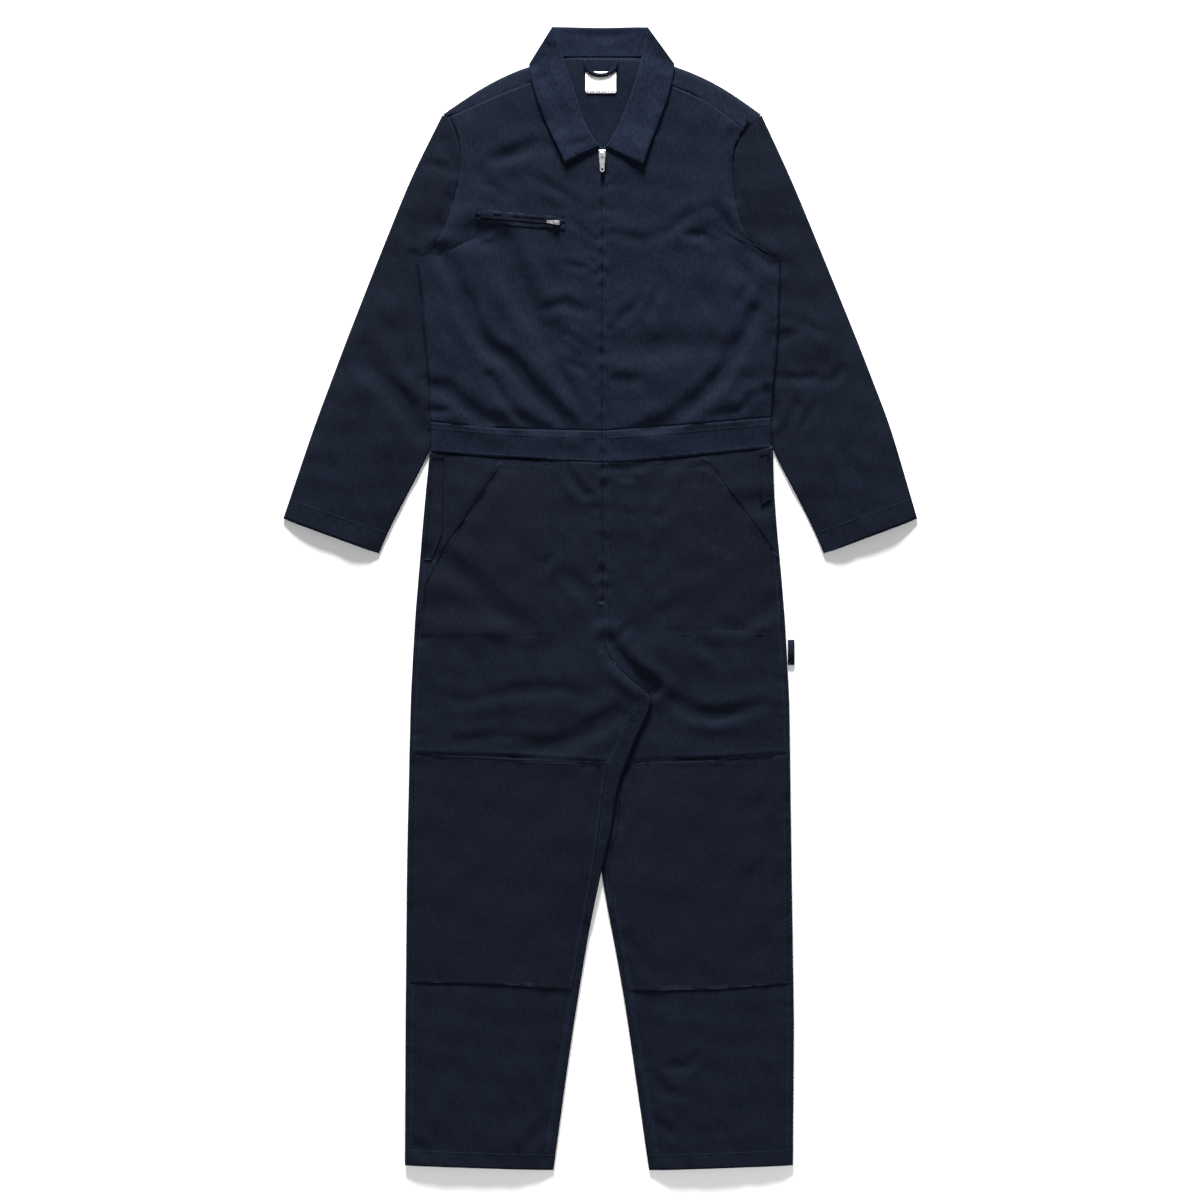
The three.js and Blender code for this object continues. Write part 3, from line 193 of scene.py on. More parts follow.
# Felled and topstitched seams: points along each, in millimetres, the raised strip's width and its side.
SEAMS = {
    "shoulder_seam_right": {"path": [(-208, 675.5), (-154, 701), (-92.4, 725), (-70, 734)], "width": 9},
    "shoulder_seam_left": {"path": [(200, 658), (149.8, 698.5), (101.5, 717.7), (76, 728)], "width": -9},
    "armhole_seam_right": {"path": [(-207.5, 671), (-194.5, 645), (-192, 604.5), (-199.6, 563.5),
                                    (-212.5, 522.3), (-222, 496), (-250, 476)], "width": 9},
    "armhole_seam_left": {"path": [(199, 653), (188.6, 644), (181.8, 604.5), (185.6, 563.5), (196, 515),
                                   (212, 494), (246, 476)], "width": -9},
    "waist_seam_right": {"path": [(-234, 240), (-145, 231.5), (-60, 228), (-6, 226.5)], "width": -3.5},
    "waist_seam_left": {"path": [(12, 226.5), (60, 229), (114, 234), (236, 245)], "width": -3.5},
    "band_seam_right": {"path": [(-235, 204), (-145, 197.3), (-60, 193), (-6, 189.2)], "width": 5},
    "band_seam_left": {"path": [(12, 189.4), (60, 193), (114, 197.6), (238, 210.6)], "width": 5},
    "crotch_seam": {"path": [(3.4, -8), (3.2, -50), (5, -66), (14, -84), (39, -109), (66, -131)], "width": 8},
    "side_seam_right": {"path": [(-246, 50), (-252, -30), (-258.5, -142), (-261, -214)], "width": 3},
    "side_seam_left": {"path": [(246, 60), (252, -30), (258.5, -142), (261, -214)], "width": -3},
    "shin_seam_right": {"path": [(-264, -538), (-265, -650), (-266, -772)], "width": 3},
    "shin_seam_left": {"path": [(264.5, -540), (264, -650), (263, -772)], "width": -3},
    "inseam_right": {"path": [(63, -146), (40, -168), (28, -209), (14, -232), (8, -264), (2, -320),
                              (-7, -390), (-23, -464), (-34, -540), (-49.5, -635), (-70.5, -776)],
                     "width": -8},
    "inseam_left": {"path": [(9, -400), (23, -464), (36, -532), (52, -635), (75, -776)], "width": 8},
    "sleeve_hem_right": {"path": [(-434, 136), (-390, 120), (-305, 91)], "width": 4},
    "sleeve_hem_left": {"path": [(434, 136), (390, 120), (309, 91)], "width": -4},
    "leg_hem_right": {"path": [(-268, -773.5), (-170, -777.5), (-64, -780.5)], "width": 3},
    "leg_hem_left": {"path": [(265, -773.5), (170, -777.5), (68, -780.5)], "width": -3},
}

# Rows of topstitching alone, beside edges that the solids already have.
ROWS = {
    "collar_stitching_right": [(-63.5, 790), (-93.5, 744), (-85, 700), (-71.5, 667), (-48.5, 616), (-6, 637)],
    "collar_stitching_left": [(63, 790), (98, 744), (92, 702), (79.5, 668), (58.5, 613), (13, 635)],
    "fly_stitching": [(46, 184), (44, 130), (40, 96), (30, 20), (16, -2), (5, -6)],
    "front_edge_right": [(-6, 604), (-6, 440), (-6, 240), (-6, 192), (-6, 2)],
    "front_edge_left": [(12, 604), (12, 440), (12, 240), (12, 192), (12, 2)],
    "pocket_mouth_right": [(-139, 182), (-192, 102), (-210, 77), (-226, 46)],
    "pocket_mouth_inner_right": [(-130, 186), (-185, 101), (-203, 74), (-218, 42)],
    "pocket_mouth_left": [(148, 190), (180, 148), (219, 93), (242, 64)],
    "pocket_mouth_inner_left": [(140, 188), (173, 144), (212, 89), (238, 55)],
    "pocket_side_right": [(-74, 184), (-74, -58)],
    "pocket_side_inner_right": [(-82, 184), (-82, -58)],
    "pocket_side_left": [(82, 184), (82, -49)],
    "pocket_side_inner_left": [(90, 184), (90, -49)],
    "knee_edge_right": [(-257, -221), (-199, -225), (8, -233), (2, -266), (-5, -320), (-14, -390),
                        (-27, -464), (-41, -543), (-145, -535), (-262, -532.5), (-257, -221)],
    "knee_edge_left": [(47, -231), (33, -262), (27, -324), (16, -385), (26, -464), (42, -545), (168, -542),
                       (260, -534), (257, -221), (168, -228), (47, -231)],
    "chest_welt_stitching": [(-171.5, 541), (-51, 530.5), (-51, 518.5), (-171.5, 529.5), (-171.5, 541)],
    "label_stitching": [(-17.5, 709.5), (20, 709.5)],
}
BARTACKS = [(-232, 50, 90), (-140, 187, 20), (148, 194, -30), (245, 62, -40), (3, -7, 0), (-74, 190, 0),
            (82, 190, 0), (-170, 535, 90), (-52.5, 524, 90)]

STRIP_HIGH = 0.32  # how far a felled seam stands above the cloth beside it, in millimetres
STRIP_STEP = 5.0
STRIP_ROWS = 6
STRIP_SINK = 0.06
STRIP_EDGE = 2.6  # how steeply its edges rise
STRIP_WAVE = 0.25  # how much its height varies along it
STRIP_TURN = 1.9
STRIP_EASING = 2

CREASE_REACH = 60  # creases further off than this leave a piece alone, in millimetres
END_DEPTH = 0.55  # the share of a crease's depth that is left at its ends
END_SHARE = 0.02
UNEVEN = 0.25
UNEVEN_LONG = 17
SHOULDER = 0.6  # how high a crease's sides rise, as a share of its depth
SHOULDER_OUT = 2.1
SHOULDER_WIDE = 1.25
DEEPEST = 1.3
# Broad swells of air under the cloth: their height, their lengths, how each turns, and how they bend.
SWELL = 0.2
SWELL_LONGS = (34, 99, 73, 47, 112, 86, 60)
SWELL_START = 0.5
SWELL_TURN = 1.37
SWELL_PHASE = 2.1
BEND_Y = (9, 61)
BEND_X = (7, 47)
# Puckers along a seam: a short and a longer wave that drift, fade and slant.
PUCKER_REACH = 11.0
PUCKER_HIGH = 0.5
PUCKER_SHORT = 2.9
PUCKER_LONG = 5.3
PUCKER_FADE = 29
PUCKER_DRIFT = 41
PUCKER_SLANT = 2.6
PUCKERED_ROWS = ("front_edge_right", "front_edge_left", "collar_stitching_right", "collar_stitching_left",
                 "fly_stitching", "knee_edge_right", "knee_edge_left")
# Short slanting puckers over the front zip, between its ends.
ZIP_RUCK = 0.8
RUCK_REACH = 7
RUCK_SHORT = 3.7
RUCK_LONG = 6.3
RUCK_FADE = 23
RUCK_ENDS = (-6, 600)

RIM_ANGLE = math.radians(48)
# Patches are pressed flat by their stitching, so each shell is this much thinner than its solid.
THINNED = {"hip_pocket_right": 1.1, "hip_pocket_left": 1.1, "knee_patch_right": 0.9, "knee_patch_left": 0.9,
           "side_placket_right": 1.1, "side_placket_left": 1.1,
           "chest_pocket_welt_upper": 0.7, "chest_pocket_welt_lower": 0.7}
# The waist seam draws the fronts down towards the waistband, which lies lower.
WAIST_LINE = [(-234, 240), (-145, 231.5), (-60, 228), (12, 226.5), (60, 229), (114, 234), (236, 245)]
WAIST_REACH = 16.0
WAIST_SINK = 0.9
# The pockets' inner, lower and upper edges, where they are sewn down into the leg.
SEWN_DOWN = {"hip_pocket_right": (-71, -61, 187), "hip_pocket_left": (79, -52, 190)}
SEWN_REACH = 11.0
COLLAR_TIPS = ((-49, 609), (60, 606))  # they curl up a little
TIP_LIFT = 2.6
TIP_REACH = 38.0
SEWN_DEPTH = 2.0
FLOOR_LAYER = 1.5 * MM  # cloth lower than this rests on the surface and gets no creases
UPPER_LAYER = 3.0 * MM
UNDER_LAYER = 0.9 * MM  # the underside, where creases are shallow grooves that open downwards
UNDER_FADE = 0.5 * MM
UNDER_DEPTH = 0.6 * MM
CUT_CORNER = 0.25
SHIFT_STEP = 6.0

STITCH_PITCH = 1.28  # from one stitch to the next, in stitch lengths
STITCH_WANDER = 0.35
STITCH_TURN = 2.7
STITCH_AHEAD = 2
STEEPEST = 1.5
STITCH_FLATNESS = 0.42
STITCH_RISE = 0.12
ROW_INSET = 0.8  # rows of stitches from a felled seam's edges, in millimetres
FAR_INSET = 1.2
TWO_ROWS = 6  # a seam wider than this has two rows
TACK_ROWS = 12
TACK_STEP = 0.8
TACK_HALF = 1.3
CHEST_TEETH = ((-168.0, 532.2), (-66.0, 523.9))
TOOTH = (0.0008, 0.0014, 0.0007, 1)
TOOTH_LIFT = 0.15
TOOTH_EDGE = 0.00012

# Each part's tone as a share of the body's, as the photograph shows it: dye and light both vary there.
# These shares paint light and shade as well as dye: the collar is painted lighter, and the legs and sleeves
# are painted darker than the body.
LIGHT_AND_DYE_SHARES = {"leg": 0.7, "sleeve": 0.72, "collar": 1.5}

FLOOR_SIZE = 30
FLOOR_DROP = 0.0004
SURROUND = 0.24
LIGHTS = [
    ("Key", (-0.5, 6.8, 1.95), 1.9, 2150),
    ("Fill", (1.0, -3.6, 2.2), 2.4, 110),
]
LENS = 100
SENSOR = 36
CAMERA_PLACE = (0, -0.0021, 4.667)


def from_hex(text):
    """Turns an sRGB colour such as '1f2a3e' into linear values."""
    channels = [int(text[k:k + 2], 16) / 255 for k in (0, 2, 4)]
    return tuple(c / 12.92 if c <= 0.04045 else ((c + 0.055) / 1.055) ** 2.4 for c in channels)


# Washed cotton is matt: hardly any gloss, and a faint bluish fuzz at grazing angles.
DRILL_SURFACE = {
    "Roughness": 0.88,
    "Sheen Weight": 0.012,
    "Sheen Roughness": 0.55,
    "Sheen Tint": (*from_hex("8fa0c4"), 1),
    "Specular IOR Level": 0.08,
}
WORN_SHARE = 0.4
TWILL_TURN = math.radians(63)


class SuitColours(bpy.types.PropertyGroup):
    """The colours of the suit's cloth, thread and metal."""

    drill: FloatVectorProperty(name="Drill", description="Colour of the navy drill", subtype="COLOR",
                               default=from_hex("0d1422"), min=0, max=1)
    drill_dark: FloatVectorProperty(name="Drill shade", description="Darker yarn of the drill",
                                    subtype="COLOR", default=from_hex("060912"), min=0, max=1)
    # The patches' colour is the legs' darker tone: partly dye, partly the same painted shade as the legs.
    patch: FloatVectorProperty(name="Patches", description="Colour of the patches and pockets",
                               subtype="COLOR", default=from_hex("0a0f1a"), min=0, max=1)
    thread: FloatVectorProperty(name="Thread", description="Colour of the topstitching", subtype="COLOR",
                                default=from_hex("161e2f"), min=0, max=1)
    zinc: FloatVectorProperty(name="Zinc", description="Colour of the sliders and pulls", subtype="COLOR",
                              default=from_hex("eceef0"), min=0, max=1)
    label: FloatVectorProperty(name="Label", description="Colour of the blank neck label", subtype="COLOR",
                               default=from_hex("f4f4f2"), min=0, max=1)


class SuitSewing(bpy.types.PropertyGroup):
    """The sizes of the suit's sewing and creases."""

    stitch: FloatProperty(name="Stitch", description="Length of one topstitch", subtype="DISTANCE",
                          default=0.0034, min=0.002, max=0.006)
    thread_width: FloatProperty(name="Thread width", description="Thickness of the thread",
                                subtype="DISTANCE", default=0.0008, min=0.0003, max=0.0015)
    crease: FloatProperty(name="Crease depth", description="Scale of the fine creases",
                          default=1.25, min=0, max=2)
    teeth: IntProperty(name="Chest zip teeth", description="Teeth on the chest pocket's zip", default=70,
                       min=20, max=120)


def add_node(tree, kind, links=(), stops=(), **settings):
    """Adds a shader node with links (input, node, output), a ramp's stops (place, colour) and settings."""
    node = tree.nodes.new(kind)
    for name, value in settings.items():
        if name in node.inputs:
            node.inputs[name].default_value = value
        else:
            setattr(node, name.lower().replace(" ", "_"), value)
    for number, (position, colour) in enumerate(stops):
        node.color_ramp.elements[number].position = position
        node.color_ramp.elements[number].color = (*colour, 1)
    for entry, source, output in links:
        tree.links.new(source.outputs[output], node.inputs[entry])
    return node


def shaded(colour, share):
    """A colour made darker or lighter."""
    return tuple(channel * share for channel in colour)


def material_of(name, **settings):
    """A fresh material with its node tree, its Principled shader, so set, and its object coordinates."""
    material = bpy.data.materials.new(name)
    material.use_nodes = True
    tree = material.node_tree
    shader = next(node for node in tree.nodes if node.type == "BSDF_PRINCIPLED")
    for entry, value in settings.items():
        shader.inputs[entry].default_value = value
    place = add_node(tree, "ShaderNodeTexCoord")
    return material, tree, shader, place


def drill_material(name, light, dark):
    """Woven cotton drill: slubby warp yarns, a soft mottle from washing, and a raised twill line."""
    material, tree, shader, place = material_of(name, **DRILL_SURFACE)
    # Yarns are about 0.5 mm; the slub is drawn about 2.3 mm wide so that it shows from the camera.
    yarns = add_node(tree, "ShaderNodeMapping", [("Vector", place, "Object")], Scale=(430, 130, 300))
    slub = add_node(tree, "ShaderNodeTexNoise", [("Vector", yarns, "Vector")],
                    Scale=1.0, Detail=3.0, Roughness=0.7)
    # Washing leaves patches about 30 to 45 mm across.
    patches = add_node(tree, "ShaderNodeMapping", [("Vector", place, "Object")], Scale=(34, 22, 30))
    cloud = add_node(tree, "ShaderNodeTexNoise", [("Vector", patches, "Vector")],
                     Scale=1.0, Detail=5.0, Roughness=0.6)
    grain = add_node(tree, "ShaderNodeValToRGB", [("Fac", slub, "Fac")],
                     stops=[(0.36, dark), (0.66, shaded(light, 1.5))])
    worn = add_node(tree, "ShaderNodeValToRGB", [("Fac", cloud, "Fac")],
                    stops=[(0.3, shaded(light, 0.85)), (0.75, shaded(light, 1.15))])
    mix = add_node(tree, "ShaderNodeMix", data_type="RGBA")
    mix.inputs[0].default_value = WORN_SHARE
    colours = [socket for socket in mix.inputs if socket.type == "RGBA"]
    tree.links.new(grain.outputs["Color"], colours[0])
    tree.links.new(worn.outputs["Color"], colours[1])
    mixed = next(socket for socket in mix.outputs if socket.type == "RGBA")
    tree.links.new(mixed, shader.inputs["Base Color"])
    # Real twill lines are about 1 mm apart. They are drawn 1.6 mm apart, so that they show, and climb at 63
    # degrees. Soft dents are about 11 mm across.
    lines = add_node(tree, "ShaderNodeMapping", [("Vector", place, "Object")], Rotation=(0, 0, TWILL_TURN))
    twill = add_node(tree, "ShaderNodeTexWave", [("Vector", lines, "Vector")],
                     Scale=190.0, Distortion=1.6, Detail=2.0)
    dents = add_node(tree, "ShaderNodeMapping", [("Vector", place, "Object")], Scale=(90, 60, 90))
    coarse = add_node(tree, "ShaderNodeTexNoise", [("Vector", dents, "Vector")],
                      Scale=1.0, Detail=4.0, Roughness=0.65)
    rib = add_node(tree, "ShaderNodeBump", [("Height", twill, "Fac")], Strength=0.22, Distance=0.0004)
    yarn = add_node(tree, "ShaderNodeBump", [("Height", slub, "Fac"), ("Normal", rib, "Normal")],
                    Strength=0.35, Distance=0.0006)
    soft = add_node(tree, "ShaderNodeBump", [("Height", coarse, "Fac"), ("Normal", yarn, "Normal")],
                    Strength=0.3, Distance=0.0022)
    tree.links.new(soft.outputs["Normal"], shader.inputs["Normal"])
    return material


def thread_material(colour):
    """Core-spun polyester thread: a tight twist with a slight shine."""
    surface_of = {"Roughness": 0.85, "Specular IOR Level": 0.1}
    material, tree, shader, place = material_of("Topstitch thread", **surface_of)
    # The real twist repeats in under half a millimetre; it is drawn at 1.1 mm, so that it shows close by.
    turns = add_node(tree, "ShaderNodeMapping", [("Vector", place, "Object")], Scale=(900, 900, 900))
    twist = add_node(tree, "ShaderNodeTexNoise", [("Vector", turns, "Vector")], Scale=1.0, Detail=2.0)
    ramp = add_node(tree, "ShaderNodeValToRGB", [("Fac", twist, "Fac")],
                    stops=[(0.3, shaded(colour, 0.7)), (0.7, colour)])
    tree.links.new(ramp.outputs["Color"], shader.inputs["Base Color"])
    return material


def label_material(colour):
    """Woven satin label: smooth and bright, with a faint weave and soft dents."""
    material, tree, shader, place = material_of("Blank satin label", Roughness=0.5)
    # Real satin floats are under half a millimetre; they are drawn about 3 mm long and 0.7 mm apart.
    floats = add_node(tree, "ShaderNodeMapping", [("Vector", place, "Object")], Scale=(300, 1500, 300))
    weave = add_node(tree, "ShaderNodeTexNoise", [("Vector", floats, "Vector")], Scale=1.0, Detail=2.0)
    ramp = add_node(tree, "ShaderNodeValToRGB", [("Fac", weave, "Fac")],
                    stops=[(0.2, shaded(colour, 0.93)), (0.8, colour)])
    bump = add_node(tree, "ShaderNodeBump", [("Height", weave, "Fac")], Strength=0.2, Distance=0.0002)
    tree.links.new(ramp.outputs["Color"], shader.inputs["Base Color"])
    tree.links.new(bump.outputs["Normal"], shader.inputs["Normal"])
    return material


def zinc_material(colour):
    """Die-cast zinc, tumbled bright: fine scuffs that break up its shine."""
    material, tree, shader, place = material_of("Tumbled zinc", Metallic=1.0)
    # Scuffs from tumbling, drawn about 1.4 mm across.
    marks = add_node(tree, "ShaderNodeMapping", [("Vector", place, "Object")], Scale=(700, 700, 700))
    scuff = add_node(tree, "ShaderNodeTexNoise", [("Vector", marks, "Vector")],
                     Scale=1.0, Detail=5.0, Roughness=0.7)
    tone = add_node(tree, "ShaderNodeValToRGB", [("Fac", scuff, "Fac")],
                    stops=[(0.3, shaded(colour, 0.78)), (0.7, colour)])
    shine = add_node(tree, "ShaderNodeValToRGB", [("Fac", scuff, "Fac")],
                     stops=[(0.3, (0.32, 0.32, 0.32)), (0.7, (0.5, 0.5, 0.5))])
    bump = add_node(tree, "ShaderNodeBump", [("Height", scuff, "Fac")], Strength=0.15, Distance=0.0002)
    tree.links.new(tone.outputs["Color"], shader.inputs["Base Color"])
    tree.links.new(shine.outputs["Color"], shader.inputs["Roughness"])
    tree.links.new(bump.outputs["Normal"], shader.inputs["Normal"])
    return material


def tape_material():
    """Woven polyester zip tape: dense fine ribs along its length."""
    surface_of = {"Roughness": 0.85, "Specular IOR Level": 0.06}
    material, tree, shader, place = material_of("Zip tape", **surface_of)
    # Real ribs are about 0.6 mm apart; they are drawn at 1.2 mm, so that they show close by.
    ribs = add_node(tree, "ShaderNodeTexWave", [("Vector", place, "Object")], Scale=260.0, Distortion=0.6)
    ramp = add_node(tree, "ShaderNodeValToRGB", [("Fac", ribs, "Fac")],
                    stops=[(0.1, from_hex("070a11")), (0.9, from_hex("0d121c"))])
    bump = add_node(tree, "ShaderNodeBump", [("Height", ribs, "Fac")], Strength=0.3, Distance=0.0003)
    tree.links.new(ramp.outputs["Color"], shader.inputs["Base Color"])
    tree.links.new(bump.outputs["Normal"], shader.inputs["Normal"])
    return material


def distance_along(places, a, b):
    """Distance in plan from each place to a straight stretch, and how far along it that is."""
    start, run = np.array(a, float), np.array(b, float) - np.array(a, float)
    long = float(np.hypot(*run))
    share = np.clip(((places - start) @ run) / long ** 2, 0, 1)
    away = places - start - share[:, None] * run
    return np.hypot(away[:, 0], away[:, 1]), share * long


def hand_creases(places):
    """Height of the listed creases: a groove that fades at its ends, between raised shoulders."""
    height = np.zeros(len(places))
    low, high = np.min(places, axis=0), np.max(places, axis=0)
    for crease in CREASES:
        path = crease["path"]
        first, last = np.min(path, axis=0), np.max(path, axis=0)
        if np.any(last < low - CREASE_REACH) or np.any(first > high + CREASE_REACH):
            continue
        away = np.full(len(places), np.inf)
        run = np.zeros(len(places))
        travelled = 0.0
        for a, b in zip(path, path[1:]):
            near, on = distance_along(places, a, b)
            run = np.where(near < away, travelled + on, run)
            away = np.minimum(near, away)
            travelled += math.dist(a, b)
        share = np.clip(run / travelled, END_SHARE, 1 - END_SHARE)
        depth = crease["depth"] * (END_DEPTH + (1 - END_DEPTH) * np.sin(math.pi * share))
        depth *= 1 + UNEVEN * np.sin(run / UNEVEN_LONG + path[0][0])
        width = crease["width"]
        height -= depth * np.exp(-(away / width) ** 2)
        beside = (away - SHOULDER_OUT * width) / (SHOULDER_WIDE * width)
        height += SHOULDER * depth * np.exp(-beside ** 2)
    return height


def swells(x, y):
    """Height of the broad swells."""
    height = np.zeros(len(x))
    bend = BEND_Y[0] * np.sin(y / BEND_Y[1]) + BEND_X[0] * np.sin(x / BEND_X[1] + 1)
    for number, long in enumerate(SWELL_LONGS):
        angle = SWELL_START + number * SWELL_TURN
        along = x * math.cos(angle) + y * math.sin(angle) + bend
        height += SWELL * np.sin(2 * math.pi * along / long + number * SWELL_PHASE)
    return height


def puckers(places):
    """Height of the puckers beside the seams, shared out where several seams are near."""
    travelled = 0.0
    nearness = np.full(len(places), 1e-6)
    ripple = np.zeros(len(places))
    for path in [seam["path"] for seam in SEAMS.values()] + [ROWS[name] for name in PUCKERED_ROWS]:
        for a, b in zip(path, path[1:]):
            away, run = distance_along(places, a, b)
            run = run + travelled
            near = np.exp(-(away / PUCKER_REACH) ** 2)
            bias = 3 * np.sin(run / PUCKER_DRIFT) + away / PUCKER_SLANT
            wave = np.sin((run + bias) / PUCKER_SHORT) + 0.7 * np.sin(run / PUCKER_LONG + 1)
            wave *= 0.6 + 0.4 * np.sin(run / PUCKER_FADE)
            ripple += near * (0.5 * wave - 0.25)
            nearness += near
            travelled += math.dist(a, b)
    return PUCKER_HIGH * ripple / np.maximum(nearness, 1)


def zip_ruck(x, y):
    """Height of the short slanting puckers over the front zip."""
    beside = np.abs(x - CENTRE)
    fade = 0.6 + 0.4 * np.sin(y / RUCK_FADE)
    ruck = np.sin((y + 0.9 * beside) / RUCK_SHORT) * fade + 0.5 * np.sin(y / RUCK_LONG - beside / 3)
    return ZIP_RUCK * np.exp(-(beside / RUCK_REACH) ** 2) * ruck * ((y > RUCK_ENDS[0]) & (y < RUCK_ENDS[1]))


def crease_height(places):
    """Height of all the creases and puckers at places in plan, in millimetres."""
    x, y = places[:, 0], places[:, 1]
    height = hand_creases(places) + swells(x, y)
    height = np.where(height < 0, DEEPEST * np.tanh(height / DEEPEST), height)
    return height + puckers(places) + zip_ruck(x, y)


def link(name, mesh, material):
    """An object of that mesh at the origin, with its material."""
    piece = bpy.data.objects.new(name, mesh)
    bpy.context.scene.collection.objects.link(piece)
    piece.data.materials.clear()
    piece.data.materials.append(material)
    return piece


def split_upper(mesh):
    """Splits the faces that look up once more, so that fine creases have enough points."""
    made = bmesh.new()
    made.from_mesh(mesh)
    made.normal_update()
    upper = {edge for face in made.faces if face.normal.z > 0.4 for edge in face.edges}
    bmesh.ops.subdivide_edges(made, edges=list(upper), cuts=1, use_grid_fill=True)
    made.to_mesh(mesh)
    made.free()


def cloth_shell(row, material, crease):
    """The fine shell of a cloth piece: its solid's own form, smoothed, with creases and puckers."""
    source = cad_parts[row["node"]]
    made = bmesh.new()
    made.from_mesh(source.data)
    bmesh.ops.remove_doubles(made, verts=made.verts, dist=2e-6)
    bmesh.ops.join_triangles(made, faces=made.faces, angle_face_threshold=RIM_ANGLE,
                             angle_shape_threshold=math.radians(60))
    creased = made.edges.layers.float.new("crease_edge")
    for edge in made.edges:
        if len(edge.link_faces) == 2 and edge.calc_face_angle(0) > RIM_ANGLE:
            edge[creased] = 1.0
    mesh = bpy.data.meshes.new(f"{row['node']}_cloth")
    made.to_mesh(mesh)
    made.free()
    piece = link(f"{row['node']}_cloth", mesh, material)
    if row["levels"]:
        smooth = piece.modifiers.new("Smooth cloth", "SUBSURF")
        smooth.levels = smooth.render_levels = row["levels"]
        smooth.boundary_smooth = "PRESERVE_CORNERS"
        final = bpy.data.meshes.new_from_object(piece.evaluated_get(
            bpy.context.evaluated_depsgraph_get()))
        piece.modifiers.clear()
        piece.data = final
    if row["node"].startswith("leg_front"):
        split_upper(piece.data)
    points = np.zeros(len(piece.data.vertices) * 3)
    piece.data.vertices.foreach_get("co", points)
    points = points.reshape(-1, 3)
    raised = np.clip((points[:, 2] - FLOOR_LAYER) / (UPPER_LAYER - FLOOR_LAYER), 0, 1)
    beneath = np.clip((UNDER_LAYER - points[:, 2]) / UNDER_FADE, 0, 1)
    mirrored = points[:, :2] * np.array([-1.0, 1.0]) / MM
    lifted = np.clip(-crease_height(mirrored), 0, 1) * UNDER_DEPTH
    points[:, 2] += crease * raised * crease_height(points[:, :2] / MM) * MM
    points[:, 2] += crease * beneath * lifted
    if row["node"] in THINNED:
        normals = np.zeros(len(points) * 3)
        piece.data.vertices.foreach_get("normal", normals)
        points[:, 2] -= THINNED[row["node"]] * np.clip(normals.reshape(-1, 3)[:, 2] * 2, 0, 1) * MM
    if row["node"] in ("front_right", "front_left"):
        x, y = points[:, 0] / MM, points[:, 1] / MM
        line = np.interp(x, [place[0] for place in WAIST_LINE], [place[1] for place in WAIST_LINE])
        points[:, 2] -= raised * WAIST_SINK * np.clip(1 - (y - line) / WAIST_REACH, 0, 1) * MM
    if row["node"] == "collar":
        for tip in COLLAR_TIPS:
            away = np.hypot(points[:, 0] / MM - tip[0], points[:, 1] / MM - tip[1])
            points[:, 2] += TIP_LIFT * np.exp(-(away / TIP_REACH) ** 2) * MM
    if row["node"] in SEWN_DOWN:
        side, low, high = SEWN_DOWN[row["node"]]
        x, y = points[:, 0] / MM, points[:, 1] / MM
        edge = np.minimum(np.minimum(np.abs(x - side), y - low), high - y)
        points[:, 2] -= SEWN_DEPTH * np.clip(1 - edge / SEWN_REACH, 0, 1) * MM
    points[:, 2] = np.maximum(points[:, 2], 0.0)
    piece.data.vertices.foreach_set("co", points.ravel())
    piece.data.shade_smooth()
    piece.data.set_sharp_from_angle(angle=RIM_ANGLE)
    return piece


def keep_piece(piece, slot, *nodes):
    """Says where a finished piece rides and which solids it stands for; its slot is not used."""
    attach(piece, BODY)
    if nodes:
        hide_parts(*nodes)


surface = {}  # the search tree over the cloth, once it is made


def tree_over(pieces):
    """A search tree over the faces of those pieces, so that sewing can be laid on them."""
    corners, faces = [], []
    for piece in pieces:
        start = len(corners)
        corners += [vert.co.copy() for vert in piece.data.vertices]
        faces += [[start + k for k in face.vertices] for face in piece.data.polygons]
    return BVHTree.FromPolygons(corners, faces)


def surface_height(x, y):
    """Height of the visible cloth at a place, in millimetres."""
    hit = surface["tree"].ray_cast(Vector((x * MM, y * MM, 0.1)), Vector((0, 0, -1)))
    return hit[0].z / MM if hit[0] else 0.0


def stepped(path, step):
    """Points at even steps along a path, with the direction there."""
    points = [Vector(point) for point in path]
    lengths = [(b - a).length for a, b in zip(points, points[1:])]
    count = max(2, round(sum(lengths) / step))
    result = []
    for k in range(count + 1):
        left = sum(lengths) * k / count
        i = 0
        while i < len(lengths) - 1 and left > lengths[i]:
            left -= lengths[i]
            i += 1
        along = (points[i + 1] - points[i]).normalized()
        result.append((points[i] + along * min(left, lengths[i]), along))
    return result


def rounded(path, turns=2):
    """Rounds a path's corners by cutting them, so that it reads as one smooth curve."""
    points = [Vector(point) for point in path]
    for _ in range(turns):
        cut = [points[0]]
        for a, b in zip(points, points[1:]):
            cut += [a.lerp(b, CUT_CORNER), a.lerp(b, 1 - CUT_CORNER)]
        points = [*cut, points[-1]]
    return points


def shifted(path, away):
    """A path moved square to itself, to its left where away is above nought."""
    return [point + Vector((-along.y, along.x)) * away for point, along in stepped(path, SHIFT_STEP)]


def band_strip(made, path, width, high):
    """Adds a felled seam: a low band laid on the cloth along a path, slightly raised and puckered."""
    places = stepped(rounded(path), STRIP_STEP)
    grid = bmesh.ops.create_grid(made, x_segments=len(places) - 1, y_segments=STRIP_ROWS, size=0.5)
    for vert in grid["verts"]:
        number = round((vert.co.x + 0.5) * (len(places) - 1))
        across = vert.co.y + 0.5
        point, along = places[number]
        square = Vector((-along.y, along.x))
        place = point + square * width * across
        rise = min(1.0, STRIP_EDGE * min(across, 1 - across))
        lift = high * rise * (1 + STRIP_WAVE * math.sin(number * STRIP_TURN))
        height = surface_height(place.x, place.y) + lift - STRIP_SINK
        vert.co = Vector((place.x, place.y, height)) * MM
    for _ in range(STRIP_EASING):
        bmesh.ops.smooth_vert(made, verts=grid["verts"], factor=0.5, use_axis_z=True)


